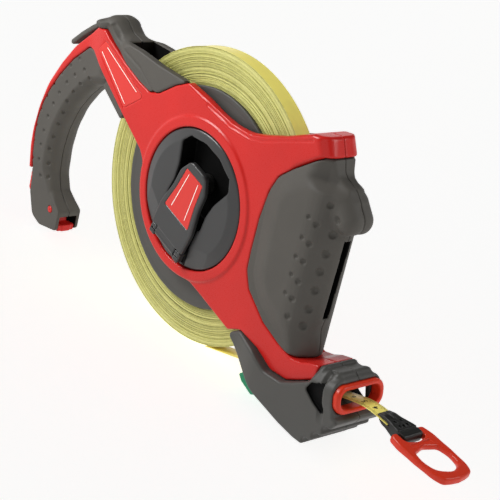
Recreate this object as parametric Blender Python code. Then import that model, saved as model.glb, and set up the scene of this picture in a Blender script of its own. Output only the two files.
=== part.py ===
"""Surveyor's open-frame tape reel: two red half shells with soft grips, a drum with 50 m of tape, a folding
crank, a mouth housing that the tape leaves through, and a pull ring on the tape's end.

Everything is drawn in millimetres about the drum's axis: X runs towards the mouth, Y along the axis with the
crank on the -Y side, and Z up. The reel stands on the rim of the wound tape and on the foot under the mouth."""

import math

import bmesh
import bpy
from mathutils import Matrix, Vector

MM = 0.001

# Where the drum's axis stands in the world.
HUB = (-30.4, 0.95, 105.0)

# Drum and wound tape.
PACK_RADIUS = 105.0
TAPE_WIDTH = 13.0
TAPE_THICKNESS = 0.45
DRUM_RADIUS = 59.7
FLANGE_RADIUS = 78.5
FLANGE_IN, FLANGE_OUT = 7.0, 9.5

# Half shells: distances from the middle plane.
PARTING = 0.15
SHELL_INNER = 11.0
SHELL_FACE = 16.5
RING_FACE = 17.8
RING_RADIUS = 57.0
HUB_HOLE = 50.3
PACK_ROOM = 112.0
GAP = 0.3

# Grips and mouth housing: outer faces.
HANDLE_FACE = 13.5
TIP_FACE = 10.8
CORNER_FACE = 16.8
GRIP_FACE = 21.5
MOUTH_FACE = 22.5

# Crank.
DISC_RADIUS = 49.7
CRANK_ANGLE = 73.5
CRANK_HINGE_U = -39.0
CRANK_HINGE_Y = -21.6
KNOB_U = 13.0

# Oval bezel in the mouth: its centre, half sizes and lean.
BEZEL_CENTRE = (170.3, 0, -62.8)
BEZEL_HALF = (22.0, 9.8)
BEZEL_HOLE = (18.0, 6.4)
BEZEL_LEAN = -12.0

# Line of the tape from the pack to the mouth.
TAPE_ANGLE = 14.8
RUN_END = 132.0
LEAD_START = 66.0
LEAD_STRAIGHT_END = 152.0
LEAD_OFFSET = 1.4
LEAD_BEND_RADIUS = 62.0
RING_ANGLE = -5.5

# How far along the end clip the pull ring's pivot is.
RING_PIVOT_A = 25.0

# Pivots of the small levers and places of the two guide pins, in the XZ plane.
LATCH_PIVOT = (-162.0, -83.0)
BRAKE_PIVOT = (112.0, -90.0)
GUIDE_UPPER = (146.0, -64.8)
GUIDE_LOWER = (128.0, -81.2)

# Screws that join the two halves, driven from the far side: place (X, Z) and the outer face that each head sits in.
SHELL_SCREWS = (
    (-127, 67, SHELL_FACE), (90, 76, SHELL_FACE), (116, -67, SHELL_FACE), (-170, 2, HANDLE_FACE),
    (-176, -92, TIP_FACE), (104, 48, GRIP_FACE), (105, -43, GRIP_FACE), (144, -94, MOUTH_FACE),
    (93, -74, MOUTH_FACE),
)
HEAD_RADIUS, HEAD_HEIGHT, SHANK_RADIUS = 2.9, 2.2, 1.4
HEAD_SINK = 0.5
SHANK_TIP = -8.0

# Swaps an outline's second axis with the extrusion's, so that the outline lies in the XY plane.
LIE_FLAT = ((1, 0, 0, 0), (0, 0, 1, 0), (0, 1, 0, 0), (0, 0, 0, 1))

# Swaps an outline's first axis with the extrusion's, so that the outline lies in the YZ plane.
FACE_ON = ((0, 1, 0, 0), (1, 0, 0, 0), (0, 0, 1, 0), (0, 0, 0, 1))

RED = (0.60, 0.045, 0.035)
GREY = (0.085, 0.080, 0.073)
DARK = (0.045, 0.045, 0.046)
YELLOW = (0.80, 0.72, 0.12)
GREEN = (0.01, 0.22, 0.10)
BLACK = (0.012, 0.012, 0.011)
ORANGE_RED = (0.62, 0.075, 0.03)
STEEL = (0.55, 0.56, 0.57)
BRASS = (0.70, 0.50, 0.20)
LABEL = (0.75, 0.12, 0.09)

for old in list(bpy.data.objects):
    bpy.data.objects.remove(old, do_unlink=True)


# ---------------------------------------------------------------- materials and placing

def material(name, color, roughness, metallic=0.0):
    made = bpy.data.materials.new(name)
    made.use_nodes = True
    shader = made.node_tree.nodes["Principled BSDF"]
    shader.inputs["Base Color"].default_value = (*color, 1.0)
    shader.inputs["Roughness"].default_value = roughness
    shader.inputs["Metallic"].default_value = metallic
    return made


MATERIALS = {
    "red": material("red_plastic", RED, 0.35),
    "grey": material("grey_soft_grip", GREY, 0.6),
    "dark": material("dark_plastic", DARK, 0.4),
    "yellow": material("yellow_tape", YELLOW, 0.45),
    "green": material("green_plastic", GREEN, 0.4),
    "black": material("black_plastic", BLACK, 0.45),
    "orange": material("orange_red_plastic", ORANGE_RED, 0.35),
    "steel": material("steel", STEEL, 0.3, 1.0),
    "brass": material("brass", BRASS, 0.35, 1.0),
    "label": material("label_plate", LABEL, 0.4),
}


def empty(name, at, parent=None):
    """An empty at a point given in millimetres from its parent."""
    made = bpy.data.objects.new(name, None)
    made.location = Vector(at) * MM
    made.parent = parent
    bpy.context.scene.collection.objects.link(made)
    return made


HUB_EMPTY = empty("hub_axis", HUB)


def finish(bm, name, look, origin=(0, 0, 0), parent=HUB_EMPTY, smooth_deg=30):
    """Turns a bmesh drawn in millimetres about the drum's axis into an object whose origin is at origin."""
    bmesh.ops.recalc_face_normals(bm, faces=bm.faces)
    bmesh.ops.translate(bm, verts=bm.verts, vec=-Vector(origin))
    bmesh.ops.scale(bm, verts=bm.verts, vec=(MM, MM, MM))
    mesh = bpy.data.meshes.new(name)
    bm.to_mesh(mesh)
    bm.free()
    mesh.materials.append(MATERIALS[look])
    mesh.shade_smooth()
    mesh.set_sharp_from_angle(angle=math.radians(smooth_deg))
    made = bpy.data.objects.new(name, mesh)
    made.location = (Vector(origin) - parent_origin(parent)) * MM
    made.parent = parent
    bpy.context.scene.collection.objects.link(made)
    return made


def parent_origin(parent):
    """Where a parent stands, in millimetres from the drum's axis."""
    place = Vector((0, 0, 0))
    while parent is not HUB_EMPTY:
        place += parent.location / MM
        parent = parent.parent
    return place


def helper(made):
    made.hide_render = True
    made.display_type = "WIRE"
    return made


def boolean(target, tool, operation):
    step = target.modifiers.new(f"{operation.lower()} {tool.name}", "BOOLEAN")
    step.operation = operation
    step.object = helper(tool)
    return target


def cut(target, *tools):
    for tool in tools:
        boolean(target, tool, "DIFFERENCE")
    return target


def join(target, *tools):
    for tool in tools:
        boolean(target, tool, "UNION")
    return target


# ---------------------------------------------------------------- outlines

def rounded(corners):
    """Corners as (a, b) or (a, b, radius): the outline with an arc in each corner that has a radius."""
    points = []
    count = len(corners)
    for i, corner in enumerate(corners):
        here = Vector(corner[:2])
        radius = corner[2] if len(corner) > 2 else 0
        if not radius:
            points.append(here)
            continue
        back = (Vector(corners[i - 1][:2]) - here).normalized()
        ahead = (Vector(corners[(i + 1) % count][:2]) - here).normalized()
        half = back.angle(ahead) / 2
        centre = here + (back + ahead).normalized() * radius / math.sin(half)
        start = here + back * radius / math.tan(half) - centre
        end = here + ahead * radius / math.tan(half) - centre
        turn = start.angle_signed(end)
        steps = max(1, round(abs(turn) / math.radians(30)))
        for k in range(steps + 1):
            arc = start.copy()
            arc.rotate(Matrix.Rotation(-turn * k / steps, 2))
            points.append(centre + arc)
    return points


def oval(half_a, half_b, centre=(0, 0), radius=None, steps=6):
    """A rectangle with round corners, or with no radius a full slot shape."""
    r = min(half_a, half_b) if radius is None else radius
    points = []
    for quarter, (sa, sb) in enumerate(((1, 1), (-1, 1), (-1, -1), (1, -1))):
        for k in range(steps + 1):
            angle = math.radians(90 * (quarter + k / steps))
            a = centre[0] + sa * (half_a - r) + r * math.cos(angle)
            b = centre[1] + sb * (half_b - r) + r * math.sin(angle)
            points.append(Vector((a, b)))
    return without_repeats(points)


def without_repeats(points):
    kept = []
    for point in points:
        if not kept or (point - kept[-1]).length > 1e-4:
            kept.append(point)
    if (kept[0] - kept[-1]).length < 1e-4:
        kept.pop()
    return kept


# ---------------------------------------------------------------- solids

def prism(name, outline, low, high, look="red", turn=None, edge=0.0, edge_at="low", steps=2, share=None, **placing):
    """The outline (X, Z) extruded along Y from low to high. edge rounds the rim of the low, high or both faces, by
    edge times share(x, z) at each stretch of the rim."""
    bm = bmesh.new()
    weight = bm.edges.layers.float.new("bevel_weight_edge")
    rims = []
    for y in (low, high):
        ring = [bm.verts.new((p.x, y, p.y)) for p in outline]
        bm.faces.new(ring)
        rims.append(ring)
    count = len(outline)
    for i in range(count):
        j = (i + 1) % count
        bm.faces.new((rims[0][i], rims[0][j], rims[1][j], rims[1][i]))
    for ring, side in zip(rims, ("low", "high")):
        if edge and edge_at in (side, "both"):
            for i in range(count):
                j = (i + 1) % count
                middle = (outline[i] + outline[j]) / 2
                bm.edges.get((ring[i], ring[j]))[weight] = share(middle.x, middle.y) if share else 1.0
    if turn is not None:
        bmesh.ops.transform(bm, matrix=turn, verts=bm.verts)
    made = finish(bm, name, look, **placing)
    if edge:
        bevel = made.modifiers.new("rim", "BEVEL")
        bevel.limit_method = "WEIGHT"
        bevel.width = edge * MM
        bevel.segments = steps
    return made


def half_prism(name, side, outline, face, back=PARTING, look="red", edge=1.0, steps=2, share=None):
    """One half of a pair that meets at the middle plane: side is -1 for the crank side and 1 for the far side."""
    low, high = (-face, -back) if side < 0 else (back, face)
    at = "low" if side < 0 else "high"
    return prism(name, outline, low, high, look, edge=edge, edge_at=at, steps=steps, share=share)


def plan_prism(name, plan, side, low, high):
    """A plan outline of (X, distance from the middle plane) for one half, extruded along Z from low to high."""
    outline = [Vector((x, side * depth)) for x, depth in plan]
    return prism(name, outline, low, high, turn=Matrix(LIE_FLAT))


def turned(name, profile, look="dark", segments=48, centre=(0, 0), turn=None, **placing):
    """A closed profile of (radius, y) points turned about an axis along Y through centre (X, Z)."""
    bm = bmesh.new()
    rings = []
    for radius, y in profile:
        if radius < 1e-6:
            rings.append([bm.verts.new((centre[0], y, centre[1]))] * segments)
            continue
        ring = []
        for k in range(segments):
            angle = 2 * math.pi * k / segments
            x = centre[0] + radius * math.cos(angle)
            z = centre[1] + radius * math.sin(angle)
            ring.append(bm.verts.new((x, y, z)))
        rings.append(ring)
    for first, second in zip(rings, rings[1:] + rings[:1]):
        for k in range(segments):
            j = (k + 1) % segments
            corners = [first[k], first[j], second[j], second[k]]
            corners = [v for i, v in enumerate(corners) if v not in corners[:i]]
            if len(corners) > 2:
                bm.faces.new(corners)
    if turn is not None:
        bmesh.ops.transform(bm, matrix=turn, verts=bm.verts)
    return finish(bm, name, look, **placing)


def disc(name, radius, low, high, look="dark", segments=24, centre=(0, 0), **placing):
    profile = [(0, low), (radius, low), (radius, high), (0, high)]
    return turned(name, profile, look, segments, centre, **placing)


def tube(name, inner, outer, low, high, look="dark", segments=48, centre=(0, 0), **placing):
    profile = [(inner, low), (outer, low), (outer, high), (inner, high)]
    return turned(name, profile, look, segments, centre, **placing)


def box(name, low, high, look="dark", turn=None, **placing):
    corners = ((low[0], low[2]), (high[0], low[2]), (high[0], high[2]), (low[0], high[2]))
    return prism(name, [Vector(corner) for corner in corners], low[1], high[1], look, turn, **placing)


# ---------------------------------------------------------------- frame

def shell_outline():
    return rounded([
        (-138, 76), (-129, 77), (-115, 70), (-97, 62), (-80, 56), (-67, 53, 6), (-57, 56, 10), (-41, 68),
        (-28, 75, 5), (-7, 71.5, 20), (11, 67), (26, 65), (40, 66), (53, 70), (70, 76.5), (94, 88, 5),
        (106, 90, 3), (112, 78), (107, 77), (86, 61, 10), (74, 50), (69, 38), (66, 17), (65.5, -8),
        (66, -22, 8), (72, -34), (92, -49), (110, -56), (124, -59), (132, -57), (139, -53.5), (148, -51),
        (148, -61, 3), (135, -69), (124, -75, 8), (108, -76, 8), (92, -68.5), (73, -64.5, 6), (61, -70.5, 2),
        (25, -60, 20), (13, -57, 20), (-9, -57, 20), (-26, -52), (-35, -41), (-48, -29), (-56, -13), (-60, 4),
        (-65, 10), (-91, 26), (-139, 57), (-146, 58, 4), (-163, 42), (-176, 25), (-185, 10), (-191, -4),
        (-194.5, -18), (-195, -33), (-192, -60), (-194.5, -60), (-197.5, -42), (-197.5, -28), (-194.5, -8),
        (-188, 13), (-176, 34), (-163, 52),
    ])


def screw_holes(part_face):
    """Stepped cutters for the shell screws whose heads sit in a part with this outer face."""
    cutters = []
    low = SHANK_TIP - GAP
    for number, (x, z, face) in enumerate(SHELL_SCREWS, 1):
        if face != part_face:
            continue
        seat = face - HEAD_SINK - HEAD_HEIGHT - GAP
        profile = [
            (0, low), (SHANK_RADIUS + GAP, low), (SHANK_RADIUS + GAP, seat), (HEAD_RADIUS + GAP, seat),
            (HEAD_RADIUS + GAP, face + 2), (0, face + 2),
        ]
        cutters.append(turned(f"screw hole {number}", profile, "steel", 8, (x, z)))
    return cutters


def shell_screws():
    for number, (x, z, face) in enumerate(SHELL_SCREWS, 1):
        head = face - HEAD_SINK
        under = head - HEAD_HEIGHT
        profile = [
            (0, SHANK_TIP), (SHANK_RADIUS, SHANK_TIP), (SHANK_RADIUS, under), (HEAD_RADIUS, under), (HEAD_RADIUS, head),
            (0, head),
        ]
        turned(f"shell_screw_{number}", profile, "steel", 8, (x, z))


def shell(side):
    name = "near" if side < 0 else "far"
    made = half_prism(f"frame_shell_{name}", side, shell_outline(), SHELL_FACE, edge=0)
    profile = [
        (0, side * (SHELL_INNER + 1)), (RING_RADIUS + 1.5, side * (SHELL_INNER + 1)),
        (RING_RADIUS + 1.5, side * SHELL_FACE), (RING_RADIUS - 1.5, side * RING_FACE), (0, side * RING_FACE),
    ]
    join(made, turned(f"{name} ring", profile, "red", 48))
    inner, outer = sorted((-side, side * SHELL_INNER))
    cut(made, disc(f"{name} pack room", PACK_ROOM, inner, outer, segments=54))
    if side < 0:
        cut(made, disc("near hub hole", HUB_HOLE, -RING_FACE - 2, 2, segments=48))
    else:
        cut(made, disc("far cover recess", HUB_HOLE, 14.0, RING_FACE + 2, segments=48))
        cut(made, disc("axle screw hole", 3.2, 5, 15, segments=16))
    slant = [(95.3, 21), (99.2, 16.1), (107.3, 8.7), (111.4, 2.3), (113.6, -2), (125, -2), (125, 21)]
    cut(made, plan_prism(f"{name} lip slant", slant, side, 63.3, 99))
    return cut(made, *screw_holes(SHELL_FACE))


def handle_share(x, z):
    """The handle is rounded most on its inner side, where the fingers curl round it."""
    inner = (x > -173 and -66 < z < 28 and x < -137 + 0.6 * (28 - z)) and x > -176 + abs(z + 30) * 0.1
    return 1.0 if inner else 0.22


def handle_grip(side):
    name = "near" if side < 0 else "far"
    outline = rounded([
        (-145.8, 57.6, 4), (-139.3, 56.5, 3), (-117, 42.6, 2), (-121, 36, 3), (-138, 30, 8), (-150, 17), (-161, 1),
        (-169, -19), (-172, -38), (-171, -57), (-166, -69, 4), (-158, -76), (-150.5, -81, 3), (-151, -97, 3),
        (-173, -101, 8), (-184, -97, 8), (-191.5, -80), (-192.5, -60.5), (-191.6, -60.3), (-194.6, -33),
        (-194.1, -18), (-190.7, -4.2), (-184.7, 9.8), (-175.7, 24.8), (-162.7, 41.7),
    ])
    made = half_prism(
        f"handle_grip_{name}", side, outline, HANDLE_FACE, look="grey", edge=9.0, steps=3, share=handle_share
    )
    room = rounded([
        (-206, -58), (-189.5, -60), (-185, -72), (-162, -74.5, 3), (-154.5, -84.5), (-148, -87), (-148, -104), (-158, -104),
        (-166, -93, 3), (-187, -89), (-206, -90),
    ])
    slope = [(side * 14, -46), (side * TIP_FACE, -68), (side * TIP_FACE, -112), (side * 22, -112), (side * 22, -46)]
    cut(made, prism(f"{name} tip slope", [Vector(p) for p in slope], -210, -140, turn=Matrix(FACE_ON)))
    cut(made, prism(f"{name} latch room", room, -5.0, 5.0))
    cut(made, disc(f"{name} latch pin hole", 2.8, -20, 20, segments=16, centre=LATCH_PIVOT))
    return cut(made, *screw_holes(HANDLE_FACE), *screw_holes(TIP_FACE))


def arm_trim(side):
    name = "near" if side < 0 else "far"
    outline = rounded([(-116.6, 42.3), (-92.5, 26.8), (-91.2, 25.2), (-93.5, 21.5, 1.5), (-118.5, 36.5, 1.5)])
    return half_prism(f"arm_trim_{name}", side, outline, SHELL_FACE - 0.8, 11.5, "grey", edge=0.6, steps=1)


def corner_grip(side):
    name = "near" if side < 0 else "far"
    outline = rounded([
        (-138.4, 76.3), (-141.5, 80.6, 4), (-134, 87.5, 8), (-125, 87, 8), (-115, 79.5, 8), (-104, 77), (-86, 77, 8),
        (-62, 75, 20), (-30, 74.3, 1), (-41.2, 68.4), (-57.2, 56.4, 10), (-67.2, 53.4, 6), (-80, 56.4),
        (-97, 62.4), (-115, 70.4), (-128.8, 77.4),
    ])
    made = half_prism(
        f"corner_grip_{name}", side, outline, CORNER_FACE, look="grey", edge=7.0, steps=3,
        share=lambda x, z: 1.0 if x < -104 and z > 77.6 else 0.1,
    )
    inner, outer = sorted((-side, side * SHELL_INNER))
    cut(made, box(f"{name} corner slot", (-104.0, inner, 40), (0, outer, 100)))
    return made


def front_grip(side):
    name = "near" if side < 0 else "far"
    outline = rounded([
        (107.3, 76.6), (86.3, 60.6, 10), (74.4, 49.8), (69.4, 37.9), (66.4, 17), (65.9, -8), (66.4, -21.8, 8),
        (72.3, -33.6), (92.2, -48.6), (110.1, -55.6), (124, -58.6), (132, -56.5), (133.5, -54), (128.5, -37, 6),
        (130, -29), (132, 28), (133.5, 36, 4), (140, 46, 6), (137, 58, 6), (124, 63, 6), (115.5, 67, 5),
        (112.3, 77),
    ])
    made = half_prism(f"front_grip_{name}", side, outline, GRIP_FACE, look="grey", edge=0)
    pad = [
        (60, 16.8), (82, 17.2), (92, 21), (110, 21.5), (118, 19), (125, 12), (130, 6), (132, 3), (132, -1), (60, -1),
    ]
    nose = [(100, 20), (112, 19), (124, 13), (134, 10.5), (138.5, 7), (140.5, 2.5), (140.5, -1), (100, -1)]
    body = plan_prism(f"{name} grip body", pad, side, -65, 80)
    boolean(made, join(body, plan_prism(f"{name} grip nose", nose, side, 33, 68)), "INTERSECT")
    neck = [(96.3, 24), (104.4, 16.7), (111.2, 10.4), (117.6, 7.7), (128, 6.3), (128, 24)]
    cut(made, plan_prism(f"{name} grip neck", neck, side, 58.7, 82))
    inner, outer = sorted((-side, side * SHELL_INNER))
    cut(made, disc(f"{name} grip room", PACK_ROOM, inner, outer, segments=48))
    cut(made, box(f"{name} sight slot", (100, -2.5, -29), (145, 2.5, 28)))
    return cut(made, *screw_holes(GRIP_FACE))


# ---------------------------------------------------------------- mouth housing

def along_tape(s, offset):
    """The point s along the tape's line from where it leaves the pack, and offset outside it."""
    angle = math.radians(TAPE_ANGLE)
    ahead = Vector((math.cos(angle), math.sin(angle)))
    outward = Vector((ahead.y, -ahead.x))
    return outward * (PACK_RADIUS + offset) + ahead * s


def tape_strip(s_low, s_high, offset_low, offset_high):
    corners = ((s_low, offset_low), (s_high, offset_low), (s_high, offset_high), (s_low, offset_high))
    return [along_tape(s, offset) for s, offset in corners]


def mouth_housing(side):
    name = "near" if side < 0 else "far"
    outline = rounded([
        (62, -72, 3), (73, -64.9, 6), (92, -68.9), (107.9, -76.4, 8), (124.1, -75.4, 8), (135.2, -69.4),
        (148.3, -61.2, 3), (148.3, -51.2), (152, -48.5, 1), (154, -50.5), (165, -47.5, 2), (170.5, -52), (175, -73),
        (180, -75, 2), (172, -87, 4), (157, -103, 4), (154, -105), (146, -105, 2), (131, -103), (104, -97, 8),
        (98, -95, 3),
    ])
    made = half_prism(
        f"mouth_housing_{name}", side, outline, MOUTH_FACE, look="grey", edge=7.0, steps=3,
        share=lambda x, z: 1.0 if x > 148 and z > -53 else 0.3,
    )
    inner, outer = sorted((-side, side * SHELL_INNER))
    cut(made, disc(f"{name} mouth pack room", PACK_ROOM, inner, outer, segments=48))
    cut(made, prism(f"{name} tape channel", tape_strip(30, 140, -4, 5), -8.5, 8.5))
    mouth_room = rounded([
        (141, -72), (141, -63), (150, -57.5, 2), (167, -56.5, 1), (182, -56.5), (182, -70.5), (168, -72.5, 1),
    ])
    cut(made, prism(f"{name} mouth room", mouth_room, -18.0, 18.0))
    window = rounded([(147, -66.5, 1.5), (160, -58.5, 2), (165, -72.5, 2), (155, -70, 3)])
    cut(made, prism(f"{name} window", window, *sorted((side * 17, side * 25))))
    brake_room = rounded([
        (70, -90), (84, -86.5), (108, -84, 4), (117, -88, 4), (116, -95, 4), (104, -107), (70, -110),
    ])
    cut(made, prism(f"{name} brake room", brake_room, -14.5, 14.5))
    for tag, centre in (("upper", GUIDE_UPPER), ("lower", GUIDE_LOWER), ("brake", BRAKE_PIVOT)):
        cut(made, disc(f"{name} {tag} pin hole", 2.0 + GAP, -19, 19, segments=16, centre=centre))
    return cut(made, *screw_holes(MOUTH_FACE))


def bezel_stand():
    """Frame of the bezel: an outline's first axis runs across the tape and its second up the housing's face."""
    return Matrix.Translation(BEZEL_CENTRE) @ Matrix.Rotation(math.radians(BEZEL_LEAN), 4, "Y") @ Matrix(FACE_ON)


def mouth_bezel():
    outer = oval(*BEZEL_HALF, radius=8.5)
    made = prism("mouth_bezel", outer, -3.5, 6.0, "orange", turn=bezel_stand(), edge=1.2, edge_at="high", steps=1)
    cut(made, prism("bezel opening", oval(*BEZEL_HOLE, radius=5.8, steps=4), -8, 10, turn=bezel_stand()))


def bezel_seat(side):
    """Cutter for the seat that the bezel sits in."""
    outline = oval(BEZEL_HALF[0] + GAP, BEZEL_HALF[1] + GAP, radius=8.5 + GAP)
    return prism(f"bezel seat {side}", outline, -3.5 - GAP, 20, turn=bezel_stand())


def mouth_pins():
    disc("guide_pin_upper", 2.0, -18.5, 18.5, "steel", 16, GUIDE_UPPER)
    disc("guide_pin_lower", 2.0, -18.5, 18.5, "steel", 16, GUIDE_LOWER)
    disc("brake_pin", 2.0, -18.5, 18.5, "steel", 16, BRAKE_PIVOT)


# ---------------------------------------------------------------- reel

def reel():
    pack_half = TAPE_WIDTH / 2
    tube("tape_pack", 60.0, PACK_RADIUS, -pack_half, pack_half, "yellow", 72)
    tube("flange_near", 45.4, FLANGE_RADIUS, -FLANGE_OUT, -FLANGE_IN, "grey", 48)
    far = tube("flange_far", 30.0, FLANGE_RADIUS, FLANGE_IN, FLANGE_OUT, "grey", 48)
    web_in, web_out = 3.5, 6.7
    drum = turned("drum_core", [
        (8.3, -1.2), (13, -1.2), (13, web_in), (45.4, web_in), (45.4, -6.7), (DRUM_RADIUS, -6.7),
        (DRUM_RADIUS, web_out), (8.3, web_out),
    ], "dark", 48)
    tube("axle_bush", 6.2, 8.0, -1.2, web_out, "brass", 24)
    face = crank_disc()
    for number in range(3):
        angle = math.radians(CRANK_ANGLE + 60 + 120 * number)
        centre = (36 * math.cos(angle), 36 * math.sin(angle))
        hole = disc(f"disc screw hole {number}", 1.5 + GAP, -3.5, 10, segments=12, centre=centre)
        seat = disc(f"disc screw seat {number}", 3.0 + GAP, 7.8, 10, segments=12, centre=centre)
        cut(drum, hole)
        cut(far, hole, seat)
        cut(face, hole)
        turned(f"disc_screw_{number + 1}", [
            (0, -3.0), (1.5, -3.0), (1.5, 8.0), (3.0, 8.0), (3.0, 9.3), (0, 9.3),
        ], "steel", 12, centre)


def crank_turn():
    """Turns a shape drawn with the crank along +X to where the crank rests."""
    return Matrix.Rotation(math.radians(-CRANK_ANGLE), 4, "Y")


def crank_rod(name, radius, half_length, look, segments=16, **placing):
    """A rod on the crank's hinge axis."""
    bm = bmesh.new()
    place = Matrix.Translation((CRANK_HINGE_U, CRANK_HINGE_Y, 0))
    bmesh.ops.create_cone(
        bm, cap_ends=True, segments=segments, radius1=radius, radius2=radius, depth=2 * half_length, matrix=place
    )
    bmesh.ops.transform(bm, matrix=crank_turn(), verts=bm.verts)
    return finish(bm, name, look, **placing)


def crank_disc():
    face, back = -17.3, -9.8
    floor = -6.0
    made = turned("crank_disc", [
        (0, -4.5), (45.0, -4.5), (45.0, back), (DISC_RADIUS, back), (DISC_RADIUS, face), (DISC_RADIUS - 1.2, face - 0.8),
        (42, -19.2), (25, -20.0), (0, -20.2),
    ], "dark", 48)
    for number in range(3):
        angle = math.radians(CRANK_ANGLE + 60 + 120 * number)
        centre = (36 * math.cos(angle), 36 * math.sin(angle))
        join(made, disc(f"disc boss {number}", 4.0, -5.0, 3.2, segments=16, centre=centre))
    pocket = rounded([
        (-12, -21, 3), (14, -22), (30, -28, 3), (37.5, -23, 5), (43, -8, 14), (43, 8, 14), (37.5, 23, 5), (30, 28, 3),
        (14, 22), (-12, 21, 3),
    ])
    cut(made, prism("disc pocket", pocket, -30, floor, turn=crank_turn()))
    # Lugs for the hinge pin, and room for the arm's knuckle between them.
    lug_outline = rounded([(-43.0, -18.0), (-35.0, -18.0), (-36.0, -24.0, 1.5), (-42.0, -24.0, 1.5)])
    for tag, low, high in (("left", -18.0, -12.3), ("right", 12.3, 18.0)):
        lug = prism(f"{tag} lug", lug_outline, low, high, turn=crank_turn() @ Matrix(LIE_FLAT))
        join(made, lug)
    cut(made, crank_rod("knuckle room", 4.2, 12.15, "dark"))
    cut(made, crank_rod("hinge pin hole", 1.5 + GAP, 17.0, "dark", 12))
    return made


def crank():
    hinge = crank_turn() @ Vector((CRANK_HINGE_U, CRANK_HINGE_Y, 0))
    hinge_empty = empty("crank_hinge", hinge, HUB_EMPTY)
    placing = {"origin": hinge, "parent": hinge_empty}
    outline = rounded([
        (-34, -20, 3), (-16, -19.5, 8), (2, -15.6, 8), (16, -15, 6), (27.5, -9, 6), (27.5, 9, 6), (16, 15, 6),
        (2, 15.6, 8), (-16, 19.5, 8), (-34, 20, 3), (-34, 11.8), (-39, 11.8), (-39, -11.8), (-34, -11.8),
    ])
    arm = prism(
        "crank_arm", outline, -24.4, -20.6, "dark", turn=crank_turn(), edge=1.0, edge_at="low", steps=2, **placing
    )
    join(arm, crank_rod("arm knuckle", 2.8, 11.8, "dark"))
    cut(arm, crank_rod("arm pin hole", 1.5 + GAP, 13, "dark", 12))
    label = [(-15.5, -15, 1.5), (21, -10, 1.5), (21, 10, 1.5), (-15.5, 15, 1.5)]
    room = [(-15.9, -15.5, 1.5), (21.4, -10.4, 1.5), (21.4, 10.4, 1.5), (-15.9, 15.5, 1.5)]
    cut(arm, prism("label recess", rounded(room), -26, -23.7, turn=crank_turn()))
    prism("crank_label", rounded(label), -24.3, -24.0, "label", turn=crank_turn(), **placing)
    knob_at = crank_turn() @ Vector((KNOB_U, 0, 0))
    centre = (knob_at.x, knob_at.z)
    cut(arm, disc("knob pin hole", 1.8 + GAP, -23, -15, segments=12, centre=centre))
    turned("knob_pin", [
        (0, -22.7), (1.8, -22.7), (1.8, -9.8), (3.4, -9.8), (3.4, -8.3), (0, -8.3),
    ], "steel", 16, centre, **placing)
    knob_origin = Vector((knob_at.x, -14, knob_at.z))
    turned("crank_knob", [
        (2.1, -20.2), (6.8, -20.2), (7.4, -19.0), (6.4, -14), (7.4, -8.4), (6.8, -7.2), (4.0, -7.2), (4.0, -10.1),
        (2.1, -10.1),
    ], "black", 20, centre, origin=knob_origin, parent=hinge_empty)
    crank_rod("crank_hinge_pin", 1.5, 16.5, "steel", 12)


def axle():
    made = turned("axle", [
        (0, -1.5), (6.0, -1.5), (6.0, 10.0), (14.0, 10.0), (14.0, 10.7), (0, 10.7),
    ], "steel", 24)
    cut(made, disc("axle bore far", 2.5 + GAP, 5, 12, segments=12))
    cut(made, disc("axle bore near", 2.0 + GAP, -3, 3, segments=12))
    turned("axle_screw", [(0, 5.5), (2.5, 5.5), (2.5, 14.2), (5.0, 14.2), (5.0, 16.0), (0, 16.0)], "steel", 16)
    turned("retaining_screw", [(0, -3.9), (8.5, -3.9), (8.5, -1.8), (2.0, -1.8), (2.0, 2.5), (0, 2.5)], "steel", 16)
    turned("far_cover", [
        (0, 16.4), (8, 16.4), (8, 14.3), (DISC_RADIUS, 14.3), (DISC_RADIUS, 17.2), (DISC_RADIUS - 1.2, 18.0),
        (40, 18.6), (0, 18.9),
    ], "dark", 48)


# ---------------------------------------------------------------- labels, latch and brake

def arm_label(side):
    name = "near" if side < 0 else "far"
    outline = rounded([(-124, 69.5, 2), (-131, 61.5, 2), (-91.5, 31.5, 1), (-72, 46.5, 3)])
    low, high = sorted((side * (SHELL_FACE + 0.3), side * (SHELL_FACE + 0.6)))
    return prism(f"arm_label_{name}", outline, low, high, "label")


def latch():
    pivot = Vector((LATCH_PIVOT[0], 0, LATCH_PIVOT[1]))
    holder = empty("latch_pivot", pivot, HUB_EMPTY)
    outline = rounded([
        (-202.5, -67, 2), (-192, -66.5, 2), (-188, -75, 3), (-163, -77, 3), (-154, -87), (-150.5, -90, 1),
        (-151, -98, 2), (-156, -99, 2), (-166, -90, 3), (-188, -86), (-196, -85.5), (-202.5, -83, 3),
    ])
    lever = prism("latch_lever", outline, -4.2, 4.2, "red", edge=0.6, edge_at="both", origin=pivot, parent=holder)
    cut(lever, disc("lever bore", 2.5 + GAP, -8, 8, segments=16, centre=LATCH_PIVOT))
    disc("latch_pin", 2.5, 0.4 - TIP_FACE, TIP_FACE - 0.4, "red", 16, LATCH_PIVOT)


def brake():
    pivot = Vector((BRAKE_PIVOT[0], 0, BRAKE_PIVOT[1]))
    holder = empty("brake_pivot", pivot, HUB_EMPTY)
    outline = rounded([
        (115, -88, 2), (110, -86.5, 2), (92, -91.5), (84, -91.5), (79, -96, 1), (83, -100, 1), (94, -104.3, 1.5),
        (101, -101, 2), (104, -95), (114, -93.5, 2),
    ])
    lever = prism("brake_lever", outline, -14, 14, "green", edge=0.6, edge_at="both", origin=pivot, parent=holder)
    cut(lever, disc("brake bore", 2.0 + GAP, -20, 20, segments=16, centre=BRAKE_PIVOT))
    pad = [Vector((84.5, -91.2)), Vector((92, -91.2)), Vector((92, -89.4)), Vector((84.5, -89.4))]
    prism("brake_pad", pad, -7, 7, "black", origin=pivot, parent=holder)


# ---------------------------------------------------------------- tape, end clip and pull ring

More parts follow.
